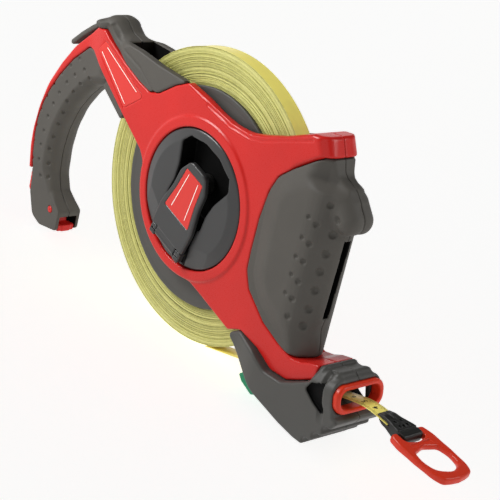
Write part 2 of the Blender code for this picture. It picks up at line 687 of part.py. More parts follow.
def lead_path():
    """Centre line of the tape's free end as (X, Z) points with the direction at each: straight, then drooping."""
    start = math.radians(TAPE_ANGLE)
    end = math.radians(RING_ANGLE)
    here = along_tape(LEAD_STRAIGHT_END, LEAD_OFFSET)
    path = [(along_tape(LEAD_START, LEAD_OFFSET), start), (here, start)]
    steps = 6
    centre = here + Vector((math.sin(start), -math.cos(start))) * LEAD_BEND_RADIUS
    for k in range(1, steps + 1):
        angle = start + (end - start) * k / steps
        path.append((centre + Vector((-math.sin(angle), math.cos(angle))) * LEAD_BEND_RADIUS, angle))
    last, angle = path[-1]
    path.append((last + Vector((math.cos(angle), math.sin(angle))) * 10.0, angle))
    return path


def tape():
    half = TAPE_WIDTH / 2
    prism("tape_run", tape_strip(8.0, RUN_END, 0.35, 0.35 + TAPE_THICKNESS), -half, half, "yellow")
    path = lead_path()
    sides = []
    for direction in (1, -1):
        rail = [p + Vector((-math.sin(a), math.cos(a))) * direction * TAPE_THICKNESS / 2 for p, a in path]
        sides.append(rail)
    prism("tape_lead", sides[0] + sides[1][::-1], -half, half, "yellow")


def clip_frame():
    """Frame of the end clip: origin where the tape enters it, first axis towards the ring."""
    entry, angle = lead_path()[-2]
    place = Matrix.Translation((entry.x, 0, entry.y)) @ Matrix.Rotation(-angle, 4, "Y")
    return place


def end_clip():
    place = clip_frame()
    side_view = rounded([
        (0, 0.6), (0, 1.8), (4, 3.2), (20, 4.0), (27.5, 3.8, 2), (28.5, 0), (27.5, -3.8, 2), (20, -4.0), (6, -3.4),
        (2, -1.6), (1.5, -0.6), (11, -0.6), (11, 0.6),
    ])
    clip = prism("end_clip", side_view, -8.6, 8.6, "black", turn=place)
    for sign in (-1, 1):
        flank = [Vector((-2, sign * 5.0)), Vector((8, sign * 5.6)), Vector((18, sign * 9.0)), Vector((-2, sign * 12))]
        cut(clip, prism(f"clip flank {sign}", flank, -8, 8, turn=place @ Matrix(LIE_FLAT)))
    cut(clip, prism("clip pin bore", oval(1.5 + GAP, 1.5 + GAP, (RING_PIVOT_A, 0), steps=3), -12, 12, turn=place))
    return clip


def pull_ring():
    place = clip_frame()
    pivot = place @ Vector((RING_PIVOT_A, 0, 0))
    holder = empty("ring_pivot", pivot, HUB_EMPTY)
    placing = {"origin": pivot, "parent": holder}
    lie = place @ Matrix(LIE_FLAT)
    outline = rounded([
        (21, 15, 2.5), (30, 16.3, 12), (45, 17, 20), (66, 14, 3), (70.5, 0, 30), (66, -14, 3), (45, -17, 20),
        (30, -16.3, 12), (21, -15, 2.5), (21, -9.1), (30.5, -9.1, 2), (32.5, 0, 12), (30.5, 9.1, 2), (21, 9.1),
    ])
    ring = prism("pull_ring", outline, -2.8, 2.8, "orange", turn=lie, edge=1.0, edge_at="both", **placing)
    hole = rounded([
        (37.5, 0, 14), (39, 10.5, 3), (48, 12, 14), (59, 9, 6), (62, 0, 14), (59, -9, 6), (48, -12, 14), (39, -10.5, 3),
    ])
    cut(ring, prism("finger hole", hole, -6, 6, turn=lie))
    cut(ring, prism("ring pin bore", oval(1.5, 1.5, (RING_PIVOT_A, 0), steps=3), -13.8, 13.8, turn=place))
    prism("ring_pin", oval(1.2, 1.2, (RING_PIVOT_A, 0), steps=3), -13.5, 13.5, "steel", turn=place, **placing)


# ---------------------------------------------------------------- the whole reel

def main():
    for side in (-1, 1):
        shell(side)
        handle_grip(side)
        arm_trim(side)
        corner_grip(side)
        front_grip(side)
        cut(mouth_housing(side), bezel_seat(side))
        arm_label(side)
    shell_screws()
    mouth_bezel()
    mouth_pins()
    reel()
    crank()
    axle()
    latch()
    brake()
    tape()
    end_clip()
    pull_ring()


main()
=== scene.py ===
"""The surveyor's tape reel as it looks: detailed moulded pieces, wound tape and studio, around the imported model.

Shapes are drawn in millimetres about the drum's axis, as the model's source draws them: X towards the mouth, Y along
the axis with the crank on the -Y side, Z up. Most moulded pieces are distance fields that a surface net turns into a
mesh, so that every edge is rounded as a moulded one is."""

import math

import bpy
import numpy as np
from mathutils import Matrix, Vector


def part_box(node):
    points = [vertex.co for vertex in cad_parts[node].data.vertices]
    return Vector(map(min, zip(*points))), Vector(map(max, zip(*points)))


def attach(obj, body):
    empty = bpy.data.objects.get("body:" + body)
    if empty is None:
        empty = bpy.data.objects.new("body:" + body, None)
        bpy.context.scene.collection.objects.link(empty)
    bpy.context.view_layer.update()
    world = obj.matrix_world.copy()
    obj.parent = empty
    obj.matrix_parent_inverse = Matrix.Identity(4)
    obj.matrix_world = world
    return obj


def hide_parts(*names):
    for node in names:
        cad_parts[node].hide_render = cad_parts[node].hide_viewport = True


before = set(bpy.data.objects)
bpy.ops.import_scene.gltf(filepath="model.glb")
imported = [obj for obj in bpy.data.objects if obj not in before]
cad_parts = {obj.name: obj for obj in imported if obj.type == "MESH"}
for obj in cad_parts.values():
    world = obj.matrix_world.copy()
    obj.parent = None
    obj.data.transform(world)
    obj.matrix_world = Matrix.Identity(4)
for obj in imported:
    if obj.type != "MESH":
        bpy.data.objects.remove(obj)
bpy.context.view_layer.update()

MM = 0.001
HUB = Vector((-30.4, 0.95, 105.0))
HALVES = ((-1, "near"), (1, "far"))
PARTING = 0.15
SHELL_FACE, HANDLE_FACE, TIP_FACE, GRIP_FACE, MOUTH_FACE = 16.5, 13.5, 10.8, 21.5, 22.5
PACK_ROOM, PACK_ROOM_HALF = 112, 11
HUB_HOLE = 50.35
KNUCKLE_X, KNUCKLE_Y = -39, -21.6
LATCH_PIVOT, BRAKE_PIVOT = (-162, -83), (112, -90)
RING_PIN = 25
KNOB_AT = 13
LIT = bpy.data.collections.new("lit by the lamps")


# ---------------------------------------------------------------- camera, light and floor

def make_camera():
    eye = Vector((698.79, -681.2, 387.40)) + HUB
    ahead = Vector((-0.6339, 0.6648, -0.3952)).normalized()
    up = Vector((-0.4343, 0.1169, 0.8931))
    right = ahead.cross(up).normalized()
    up = right.cross(ahead)
    turn = Matrix((right, up, -ahead)).transposed()
    data = bpy.data.cameras.new("camera")
    data.sensor_width = 36
    data.lens = 108
    camera = bpy.data.objects.new("camera", data)
    camera.matrix_world = Matrix.Translation(eye * MM) @ turn.to_4x4()
    bpy.context.scene.collection.objects.link(camera)
    bpy.context.scene.camera = camera


def area_light(name, at, towards, size, watts):
    data = bpy.data.lights.new(name, "AREA")
    data.shape = "RECTANGLE"
    data.size, data.size_y = size
    data.energy = watts
    lamp = bpy.data.objects.new(name, data)
    lamp.location = at
    lamp.rotation_euler = (Vector(towards) - Vector(at)).to_track_quat("-Z", "Y").to_euler()
    lamp.light_linking.receiver_collection = LIT
    bpy.context.scene.collection.objects.link(lamp)


def make_studio():
    scene = bpy.context.scene
    scene.view_settings.view_transform = "Standard"
    world = bpy.data.worlds.new("studio")
    world.use_nodes = True
    nodes, links = world.node_tree.nodes, world.node_tree.links
    split = nodes.new("ShaderNodeSeparateXYZ")
    ramp = nodes.new("ShaderNodeValToRGB")
    links.new(nodes.new("ShaderNodeTexCoord").outputs["Generated"], split.inputs["Vector"])
    links.new(split.outputs["Z"], ramp.inputs["Fac"])
    links.new(ramp.outputs["Color"], nodes["Background"].inputs["Color"])
    for element, (at, light) in zip(ramp.color_ramp.elements, ((0.17, 0.97), (0.26, 0.10))):
        element.position = at
        element.color = (light, light, light, 1)
    scene.world = world
    area_light("key", (-0.45, -0.42, 0.58), (-0.08, 0, 0.12), (0.34, 0.26), 5.6)
    area_light("front", (0.9, -1.2, 0.9), (0, 0, 0.1), (0.8, 0.6), 1.6)
    area_light("rim", (0.75, 0.45, 0.75), (0.05, 0, 0.15), (0.5, 0.35), 4.0)
    mesh = bpy.data.meshes.new("floor")
    half, level = 12.0, -0.0004
    corners = [(u * half, v * half, level) for u, v in ((-1, -1), (1, -1), (1, 1), (-1, 1))]
    mesh.from_pydata(corners, [], [(0, 1, 2, 3)])
    floor = bpy.data.objects.new("floor", mesh)
    bpy.context.scene.collection.objects.link(floor)
    pale = bpy.data.materials.new("pale floor")
    pale.use_nodes = True
    shader = pale.node_tree.nodes["Principled BSDF"]
    shader.inputs["Base Color"].default_value = (0.93, 0.93, 0.925, 1)
    shader.inputs["Roughness"].default_value = 0.9
    shader.inputs["Specular IOR Level"].default_value = 0.1
    shader.inputs["Emission Color"].default_value = (1, 1, 0.995, 1)
    shader.inputs["Emission Strength"].default_value = 0.83
    mesh.materials.append(pale)


make_camera()
make_studio()


# ---------------------------------------------------------------- materials

def srgb(r, g, b):
    """8-bit screen colour as linear light."""
    return tuple(((c / 255 + 0.055) / 1.055) ** 2.4 if c > 10 else c / 255 / 12.92 for c in (r, g, b))


class Paint:
    """A material under construction, with short ways to add and join its nodes."""

    def __init__(self, name, **sockets):
        self.material = bpy.data.materials.new(name)
        self.material.use_nodes = True
        self.tree = self.material.node_tree
        self.shader = self.tree.nodes["Principled BSDF"]
        for key, value in sockets.items():
            self.shader.inputs[key.replace("_", " ")].default_value = value
        self.place = self.add("ShaderNodeTexCoord").outputs["Object"]

    def add(self, kind, inputs=None, **settings):
        node = self.tree.nodes.new(kind)
        for key, value in settings.items():
            setattr(node, key, value)
        for key, value in (inputs or {}).items():
            if isinstance(value, bpy.types.NodeSocket):
                self.tree.links.new(value, node.inputs[key])
            else:
                node.inputs[key].default_value = value
        return node

    def noise(self, scale, detail=2.0, roughness=0.5, at=None):
        values = {"Vector": at or self.place, "Scale": scale, "Detail": detail, "Roughness": roughness}
        return self.add("ShaderNodeTexNoise", values).outputs["Fac"]

    def ramp(self, value, stops):
        node = self.add("ShaderNodeValToRGB", {"Fac": value})
        ramp = node.color_ramp
        while len(ramp.elements) < len(stops):
            ramp.elements.new(0.5)
        for element, (at, color) in zip(ramp.elements, stops):
            element.position = at
            element.color = (*color, 1)
        return node.outputs["Color"]

    def math(self, operation, a, b=0.0):
        return self.add("ShaderNodeMath", {0: a, 1: b}, operation=operation).outputs[0]

    def join(self, value, socket):
        self.tree.links.new(value, self.shader.inputs[socket])

    def grey(self, value, low, high):
        return self.add("ShaderNodeMapRange", {"Value": value, "To Min": low, "To Max": high}).outputs["Result"]

    def bump(self, height, strength, distance):
        node = self.add("ShaderNodeBump", {"Height": height, "Strength": strength, "Distance": distance})
        self.join(node.outputs["Normal"], "Normal")


def moulded(name, color, roughness, grain, spread=0.06, coat=0.0, bump=0.1, shine=0.3):
    """Moulded plastic or rubber: fine grain in the surface, faint clouds in its colour and gloss."""
    paint = Paint(name, Roughness=roughness, Coat_Weight=coat, Coat_Roughness=0.12, Specular_IOR_Level=shine)
    clouds = paint.noise(22, 3, 0.6)
    dark = tuple(c * (1 - spread) for c in color)
    light = tuple(min(1, c * (1 + spread)) for c in color)
    paint.join(paint.ramp(clouds, [(0.3, dark), (0.7, light)]), "Base Color")
    fine = paint.noise(grain, 2, 0.6)
    paint.join(paint.grey(fine, roughness - 0.06, roughness + 0.08), "Roughness")
    paint.bump(fine, bump, 0.0002)
    return paint.material


def make_tape_side():
    """Edges of the wound turns: fine rings about the drum's axis, with patches that are darker or lighter."""
    paint = Paint("tape_edges", Roughness=0.55)
    split = paint.add("ShaderNodeSeparateXYZ", {"Vector": paint.place})
    x = paint.math("SUBTRACT", split.outputs["X"], HUB.x * MM)
    z = paint.math("SUBTRACT", split.outputs["Z"], HUB.z * MM)
    radius = paint.math("SQRT", paint.math("ADD", paint.math("MULTIPLY", x, x), paint.math("MULTIPLY", z, z)))
    ring = paint.add("ShaderNodeCombineXYZ", {"X": radius})
    turns = paint.noise(1500, 3, 0.75, ring.outputs[0])
    bands = paint.noise(420, 3, 0.65, ring.outputs[0])
    around = paint.noise(14, 2, 0.5)
    patches = paint.noise(220, 3, 0.7)
    mixed = paint.math("ADD", paint.math("MULTIPLY", turns, 0.48), paint.math("MULTIPLY", bands, 0.34))
    mixed = paint.math("ADD", mixed, paint.math("MULTIPLY", around, 0.12))
    mixed = paint.math("ADD", mixed, paint.math("MULTIPLY", patches, 0.06))
    paint.join(paint.ramp(mixed, [
        (0.39, srgb(84, 82, 36)), (0.445, srgb(150, 147, 78)), (0.49, srgb(194, 191, 114)),
        (0.60, srgb(220, 217, 146)),
    ]), "Base Color")
    paint.bump(turns, 0.6, 0.0004)
    return paint.material


def make_tape_face(name, base):
    paint = Paint(name, Roughness=0.38, Coat_Weight=0.2, Coat_Roughness=0.2)
    shade = tuple(c * 0.92 for c in base)
    paint.join(paint.ramp(paint.noise(90, 3, 0.6), [(0.3, shade), (0.7, base)]), "Base Color")
    paint.bump(paint.noise(2500, 2), 0.08, 0.0001)
    return paint.material


def make_metal(name, color, roughness):
    paint = Paint(name, Metallic=1.0, Roughness=roughness)
    brushed = paint.noise(900, 3, 0.7)
    paint.join(paint.ramp(brushed, [(0.3, tuple(c * 0.85 for c in color)), (0.7, color)]), "Base Color")
    paint.join(paint.grey(brushed, roughness - 0.08, roughness + 0.12), "Roughness")
    return paint.material


LOOKS = {
    "red": moulded("red_plastic", srgb(194, 32, 27), 0.28, 1600, coat=0.05, bump=0.04, shine=0.25),
    "orange": moulded("orange_red_plastic", srgb(206, 52, 28), 0.33, 1600, coat=0.05, bump=0.05, shine=0.25),
    "grey": moulded("soft_grip", srgb(78, 75, 70), 0.60, 1500, spread=0.07, bump=0.35),
    "mid": moulded("grey_plastic", srgb(72, 71, 68), 0.45, 1300, bump=0.12),
    "dark": moulded("dark_plastic", srgb(50, 50, 50), 0.30, 1300, bump=0.08, shine=0.45),
    # Near-black painted shade: the faces inside recesses, slots and pockets get it, so that they look as dark as shade
    # would make them.
    "painted_shade": moulded("black_painted_shade", srgb(8, 8, 8), 0.6, 1300, bump=0.05, shine=0.1),
    "black": moulded("black_plastic", srgb(26, 26, 24), 0.38, 1400, bump=0.12, shine=0.4),
    "green": moulded("green_plastic", srgb(12, 120, 82), 0.35, 1400, bump=0.06),
    "label": moulded("label_film", srgb(206, 46, 38), 0.30, 1500, spread=0.03, coat=0.1, bump=0.03),
    "white": moulded("white_print", srgb(245, 240, 232), 0.45, 1500, spread=0.02, bump=0.02),
    "ink": moulded("black_print", srgb(28, 24, 20), 0.5, 1500, spread=0.02, bump=0.02),
    "red_ink": moulded("red_print", srgb(190, 40, 30), 0.5, 1500, spread=0.02, bump=0.02),
    "side": make_tape_side(),
    "tape": make_tape_face("tape_face", srgb(251, 235, 120)),
    "rim": make_tape_face("tape_rim", srgb(250, 236, 120)),
    "steel": make_metal("plated_steel", (0.62, 0.62, 0.63), 0.3),
    "brass": make_metal("bush_brass", (0.78, 0.58, 0.28), 0.32),
}


# ---------------------------------------------------------------- distance fields

def smooth_max(a, b, k):
    h = np.maximum(k - np.abs(a - b), 0) / k
    return np.maximum(a, b) + h * h * k / 4


def smooth_min(a, b, k):
    return -smooth_max(-a, -b, k)


def smooth_step(value, low, high):
    t = np.clip((value - low) / (high - low), 0, 1)
    return t * t * (3 - 2 * t)


def corner(a, b, radius):
    """Inside both a and b, with the edge where they meet rounded."""
    u, v = a + radius, b + radius
    return np.minimum(np.maximum(u, v), 0) + np.hypot(np.maximum(u, 0), np.maximum(v, 0)) - radius


def arc_outline(corners, step=12):
    """Corners as (a, b) or (a, b, radius): the outline, with an arc in each corner that has a radius."""
    points = []
    count = len(corners)
    for i, here in enumerate(corners):
        p = np.array(here[:2], float)
        if len(here) < 3:
            points.append(p)
            continue
        back = np.array(corners[i - 1][:2], float) - p
        ahead = np.array(corners[(i + 1) % count][:2], float) - p
        room = 0.48 * min(np.linalg.norm(back), np.linalg.norm(ahead))
        back /= np.linalg.norm(back)
        ahead /= np.linalg.norm(ahead)
        half = math.acos(np.clip(back @ ahead, -1, 1)) / 2
        if math.cos(half) < 1e-4:
            points.append(p)
            continue
        radius = min(here[2], room * math.tan(half))
        centre = p + (back + ahead) / np.linalg.norm(back + ahead) * radius / math.sin(half)
        start = p + back * radius / math.tan(half) - centre
        end = p + ahead * radius / math.tan(half) - centre
        first = math.atan2(start[1], start[0])
        turn = (math.atan2(end[1], end[0]) - first + math.pi) % (2 * math.pi) - math.pi
        steps = max(1, round(abs(math.degrees(turn)) / step))
        for k in range(steps + 1):
            angle = first + turn * k / steps
            points.append(centre + radius * np.array((math.cos(angle), math.sin(angle))))
    return np.array(points)


def soft_outline(corners, rounds=2, keep=0.75):
    """An outline with its corners cut again and again, which leaves one flowing curve."""
    points = np.array([c[:2] for c in corners], float)
    for _ in range(rounds):
        ahead = np.roll(points, -1, axis=0)
        points = np.stack([points * keep + ahead * (1 - keep), points * (1 - keep) + ahead * keep], 1).reshape(-1, 2)
    return points


def inside(outline, a, b):
    """Distance from each point to the outline's edge, negative inside it."""
    a, b = np.broadcast_arrays(np.asarray(a, float), np.asarray(b, float))
    best = np.full(a.shape, 1e9)
    within = np.zeros(a.shape, bool)
    for p, q in zip(outline, np.roll(outline, -1, axis=0)):
        edge = q - p
        length = edge @ edge
        if length < 1e-12:
            continue
        da, db = a - p[0], b - p[1]
        t = np.clip((da * edge[0] + db * edge[1]) / length, 0, 1)
        best = np.minimum(best, (da - t * edge[0]) ** 2 + (db - t * edge[1]) ** 2)
        if p[1] != q[1]:
            crosses = (b < p[1]) != (b < q[1])
            within ^= crosses & (a < p[0] + (b - p[1]) * edge[0] / (edge[1] or 1))
    return np.where(within, -1, 1) * np.sqrt(best)


def net(values, low, step):
    """Surface net of the zero level of a grid of distances: one point in each cell that the surface passes."""
    strides = np.array([values.shape[1] * values.shape[2], values.shape[2], 1])
    solid = values < 0
    places, owners = [], []
    for axis in range(3):
        near = tuple(slice(0, -1) if k == axis else slice(None) for k in range(3))
        far = tuple(slice(1, None) if k == axis else slice(None) for k in range(3))
        crossing = solid[near] != solid[far]
        index = np.argwhere(crossing)
        first, second = values[near][crossing], values[far][crossing]
        place = index.astype(float)
        place[:, axis] += first / (first - second)
        u, v = (axis + 1) % 3, (axis + 2) % 3
        around = []
        for du, dv in ((0, 0), (-1, 0), (-1, -1), (0, -1)):
            cell = index.copy()
            cell[:, u] += du
            cell[:, v] += dv
            around.append(cell @ strides)
        around = np.stack(around, 1)
        outward = first < 0
        around[~outward] = around[~outward][:, ::-1]
        owners.append(around)
        places.append(np.repeat(place, 4, axis=0))
    owners, places = np.concatenate(owners), np.concatenate(places)
    _, number = np.unique(owners.ravel(), return_inverse=True)
    number = number.reshape(-1)
    count = np.bincount(number)
    points = np.stack([np.bincount(number, places[:, k]) / count for k in range(3)], 1)
    return points * step + low, number.reshape(-1, 4)


def settle(points, field, step):
    """Moves each point onto the field's surface."""
    for _ in range(2):
        here = field(*points.T)
        slope = np.stack([field(*(points + shift).T) - here for shift in np.eye(3) * 0.05], 1) / 0.05
        size = np.maximum((slope * slope).sum(1), 0.25)
        move = -(here / size)[:, None] * slope
        length = np.maximum(np.linalg.norm(move, axis=1), 1e-9)[:, None]
        points = points + move * np.minimum(1, 0.35 * step / length)
    return points


def place_mesh(mesh, name, look, body, nodes=(), looks=()):
    """Puts a mesh in world metres into the scene, to ride on a body and stand for CAD nodes."""
    made = bpy.data.objects.new(name, mesh)
    for key in (look, *looks):
        mesh.materials.append(LOOKS[key])
    bpy.context.scene.collection.objects.link(made)
    LIT.objects.link(made)
    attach(made, body)
    if nodes:
        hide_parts(*nodes)
    return made


def to_mesh(name, points, faces, turn=None, smooth=True, crease=None):
    points = np.asarray(points, float)
    if turn is not None:
        points = points @ np.array(turn.to_3x3()).T + np.array(turn.translation)
    mesh = bpy.data.meshes.new(name)
    mesh.from_pydata(((points + np.array(HUB)) * MM).tolist(), [], [list(map(int, f)) for f in faces])
    if smooth:
        mesh.shade_smooth()
    if crease is not None:
        mesh.set_sharp_from_angle(angle=math.radians(crease))
    return mesh


def solid(name, look, body, nodes, low, high, field, step=0.8, turn=None, side=1, **more):
    """The piece where field(x, y, z) is negative. With side -1 the field is drawn for the far half and mirrored."""
    axes = [np.arange(a - 1.5 * step, b + 2.5 * step, step) for a, b in zip(low, high)]
    grid = np.meshgrid(*axes, indexing="ij", sparse=True)
    values = np.array(np.broadcast_to(field(*grid), [len(a) for a in axes]), float)
    for axis in range(3):
        for end in (0, -1):
            wall = tuple(end if k == axis else slice(None) for k in range(3))
            values[wall] = np.maximum(values[wall], 0.1)
    start = np.array([a[0] for a in axes])
    points, faces = net(values, start, step)
    points = settle(points, field, step)
    if side < 0:
        points[:, 1] *= -1
        faces = faces[:, ::-1]
    mesh = to_mesh(name, points, faces, turn)
    return place_mesh(mesh, name, look, body, nodes, **more)


def line_distance(points, a, b):
    """Distance from each point to an open line."""
    best = np.full(np.broadcast(a, b).shape, 1e9)
    for p, q in zip(np.array(points[:-1], float), np.array(points[1:], float)):
        edge = q - p
        t = np.clip(((a - p[0]) * edge[0] + (b - p[1]) * edge[1]) / (edge @ edge), 0, 1)
        best = np.minimum(best, np.hypot(a - p[0] - t * edge[0], b - p[1] - t * edge[1]))
    return best


def paint_shade_in(made, hollow):
    """Gives the second material, black painted shade, to the faces where hollow(x, |y|, z) holds, such as those inside
    an opening.
    """
    x, y, z = (np.array([face.center for face in made.data.polygons]) / MM - np.array(HUB)).T
    for face, deep in zip(made.data.polygons, hollow(x, np.abs(y), z)):
        face.material_index = int(deep)


def dent(field, spots, radius, depth):
    """The field with round dimples, each a ball's print in the outer surface at a spot of the XZ plane."""
    balls = []
    heights = np.arange(26, 4, -0.1)
    for u, v in spots:
        solid_there = field(np.full(heights.shape, u), heights, np.full(heights.shape, v)) < 0
        if not solid_there.any():
            continue
        place = np.array((u, heights[solid_there.argmax()], v))
        slope = np.array([
            float(field(*(place + shift)[:, None])[0] - field(*(place - shift)[:, None])[0]) for shift in np.eye(3) * 0.6
        ])
        balls.append(place + slope / np.linalg.norm(slope) * (radius - depth))

    def dented(x, t, z):
        value = field(x, t, z)
        for centre in balls:
            away = np.sqrt((x - centre[0]) ** 2 + (t - centre[1]) ** 2 + (z - centre[2]) ** 2)
            value = smooth_max(value, radius - away, 0.3)
        return value
    return dented


def pack_room(x, t, z):
    """The room that the frame leaves for the drum and the wound tape."""
    return np.maximum(np.hypot(x, z) - PACK_ROOM, t - PACK_ROOM_HALF)


def seats(field, side, face):
    """The field with the sunk seats of the far half's screws, in the part whose outer face they sit in."""
    if side < 0:
        return field
    places = [(u, v) for u, v, own in SCREWS if own == face]

    def seated(x, t, z):
        value = field(x, t, z)
        for u, v in places:
            value = smooth_max(value, -np.maximum(np.hypot(x - u, z - v) - 3.25, face - 3.0 - t), 0.3)
        return value
    return seated


SCREWS = [
    (-127, 67, SHELL_FACE), (90, 76, SHELL_FACE), (116, -67, SHELL_FACE), (-170, 2, HANDLE_FACE),
    (-176, -92, TIP_FACE), (104, 48, GRIP_FACE), (105, -43, GRIP_FACE), (144, -94, MOUTH_FACE), (93, -74, MOUTH_FACE),
]


# ---------------------------------------------------------------- shells

SHELL = arc_outline([
    (-138, 76), (-129, 77), (-115, 70), (-97, 62), (-80, 56), (-67, 53, 6), (-57, 56, 10), (-41, 68),
    (-28, 75, 5), (-7, 71.5, 20), (11, 67, 20), (26, 65, 20), (40, 66, 20), (53, 70, 20), (70, 76.5, 20), (94, 88, 5),
    (106, 90, 3), (112, 78), (107, 77), (86, 61, 10), (74, 50), (69, 38), (66, 17), (65.5, -8),
    (66, -22, 8), (72, -34), (92, -49), (110, -56), (124, -59), (132, -57), (139, -53.5), (148, -51),
    (148, -61, 3), (135, -69), (124, -75, 8), (108, -76, 8), (92, -68.5), (73, -64.5, 6), (61, -70.5, 2),
    (25, -60, 20), (13, -57, 20), (-9, -57, 20), (-26, -52, 12), (-35, -41, 12), (-48, -29, 12), (-56, -13, 12),
    (-60, 4, 12), (-65, 10, 8), (-91, 26), (-139, 57), (-146, 58, 4), (-163, 42), (-176, 25), (-185, 10), (-191, -4),
    (-194.5, -18), (-195, -33), (-192, -60), (-194.5, -60), (-197.5, -42, 20), (-197.5, -28, 20), (-194.5, -8, 30),
    (-188, 13, 30), (-176, 34, 30), (-163, 52, 20),
])
PANEL = arc_outline([(-124.5, 70.5, 2), (-132, 61.5, 2), (-91.2, 30.8, 1.5), (-71.5, 46.8, 4), (-79, 50.5, 4)])
RIB = arc_outline([(-84, 57), (-84, 72.5, 3), (-62, 73, 3), (-50, 64), (-57, 57)])
LIP_PLAN = arc_outline([(-300, 30), (90, 30), (99, 22.5, 8), (111, 12, 8), (116, 3, 6), (117, -3), (-300, -3)])
STEP_LINE = [(-5, 68), (20, 63), (40, 63), (53, 66), (96, 84)]


def shell(side, name):
    def field(x, t, z):
        rho = np.hypot(x, z)
        handle = smooth_step(-x, 122, 150)
        face = SHELL_FACE - 3.0 * handle
        edge = inside(SHELL, x, z)
        top = smooth_step(z, 56, 66) * smooth_step(x, -30, -10)
        slope = 1.3 + 2.2 * top
        value = corner(edge, t - face, slope)
        rim = corner(rho - 57.8, t - 17.9, 1.4)
        value = smooth_min(value, rim, 1.6)
        lip = inside(LIP_PLAN, x + 0.55 * np.maximum(0, z - 77), t)
        value = np.where(z > 61, smooth_max(value, lip, 1.6), value)
        step = line_distance(STEP_LINE, x, z)
        value = value + 0.7 * np.maximum(0, 1 - (step / 1.3) ** 2) * (t > 12)
        hub = HUB_HOLE - rho if side < 0 else -np.maximum(rho - HUB_HOLE, 14.0 - t)
        value = smooth_max(value, hub, 0.9)
        panel = -corner(inside(PANEL, x, z), 15.9 - t, 0.4)
        value = smooth_max(value, panel, 0.4)
        value = np.maximum(value, -pack_room(x, t, z))
        if side > 0:
            rib = np.maximum(inside(RIB, x, z), np.abs(t - 10.1) - 0.7)
            value = np.minimum(value, rib)
        return smooth_max(value, PARTING - t, 0.3)
    solid(
        f"moulded_shell_{name}", "red", "frame", [f"frame_shell_{name}"], (-199, 0, -78), (149, 19, 92),
        seats(field, side, SHELL_FACE), 0.8, side=side,
    )


# ---------------------------------------------------------------- soft grips

HANDLE = arc_outline([
    (-145.8, 57.6, 4), (-139.3, 56.5, 3), (-117, 42.6, 2), (-121, 36, 3), (-138, 30, 14), (-150, 17, 25), (-161, 1, 25),
    (-169, -19, 30), (-172, -38, 30), (-171, -57, 14), (-166, -69, 4), (-158, -76, 4), (-150.5, -81, 3), (-151, -97, 3),
    (-173, -101, 8), (-184, -97, 8), (-191.5, -80, 8), (-192.5, -60.5), (-191.6, -60.3), (-194.6, -33, 20),
    (-194.1, -18, 20), (-190.7, -4.2, 20), (-184.7, 9.8, 20), (-175.7, 24.8, 20), (-162.7, 41.7, 10),
])
HANDLE_DENTS = [
    (-155, 45), (-164, 36), (-173, 26), (-181, 15), (-187, 2), (-191, -10), (-194, -24), (-194, -37), (-192, -51),
    (-147, 39), (-157, 31), (-165, 22), (-172, 11), (-177, 0), (-181, -12), (-183, -25), (-184, -37), (-183, -49),
    (-180, -62), (-140, 35), (-149, 27), (-156, 18), (-162, 8), (-166, -3), (-170, -14), (-173, -26), (-175, -37),
    (-174, -49), (-172, -60),
]
LATCH_ROOM = arc_outline([
    (-206, -58), (-189.5, -60), (-185, -72), (-162, -74.5, 3), (-154.5, -84.5), (-146, -87), (-146, -104),
    (-158, -104), (-166, -93, 3), (-187, -89), (-206, -90),
])


def handle(side, name):
    inner_side = np.array([
        (-100, 50), (-138, 30), (-150, 17), (-161, 1), (-169, -19), (-172, -38), (-171, -57), (-168, -66), (-100, -66),
    ], float)

    def field(x, t, z):
        edge = inside(HANDLE, x, z)
        towards = inside(inner_side, x, z)
        roll = 1.6 + 8.2 * smooth_step(-towards, -15, -3)
        tip = smooth_step(-z, 48, 70)
        face = HANDLE_FACE - 2.7 * tip
        value = corner(edge, t - face, np.minimum(roll, face - 1.5) * (1 - 0.55 * tip))
        room = inside(LATCH_ROOM, x, z)
        value = smooth_max(value, -np.maximum(room, t - 5.0), 0.4)
        value = smooth_max(value, -np.maximum(np.maximum(room, t - 8.3), -161.0 - x), 0.4)
        value = smooth_max(value, 2.9 - np.hypot(x - LATCH_PIVOT[0], z - LATCH_PIVOT[1]), 0.4)
        return smooth_max(value, PARTING - t, 0.5)
    made = solid(
        f"soft_handle_{name}", "grey", "frame", [f"handle_grip_{name}"], (-196, 0, -103), (-115, 14, 59),
        seats(seats(dent(field, HANDLE_DENTS, 1.95, 1.2), side, HANDLE_FACE), side, TIP_FACE), 0.6, side=side,
        looks=["painted_shade"],
    )
    # Painted shade: the faces in the latch lever's room are painted black.
    paint_shade_in(made, lambda x, t, z: (inside(LATCH_ROOM, x, z) < 0.35) & (t < 8.6) & (x < -151.6))


CORNER = arc_outline([
    (-138.4, 76.3), (-140.5, 80.2, 4), (-133, 87.6, 8), (-125, 87, 8), (-115, 79.5, 8), (-104, 77, 8), (-86, 77, 8),
    (-62, 75, 20), (-30, 74.3, 1), (-41.2, 68.4, 4), (-57.2, 56.4, 10), (-67.2, 53.4, 6), (-80, 56.4), (-97, 62.4),
    (-115, 70.4), (-128.8, 77.4),
])


def shell_edge(x, z):
    """Distance outside the shell's outline along the handle's back, and large elsewhere."""
    return np.where(x < -139.5, inside(SHELL, x, z), 9.0)


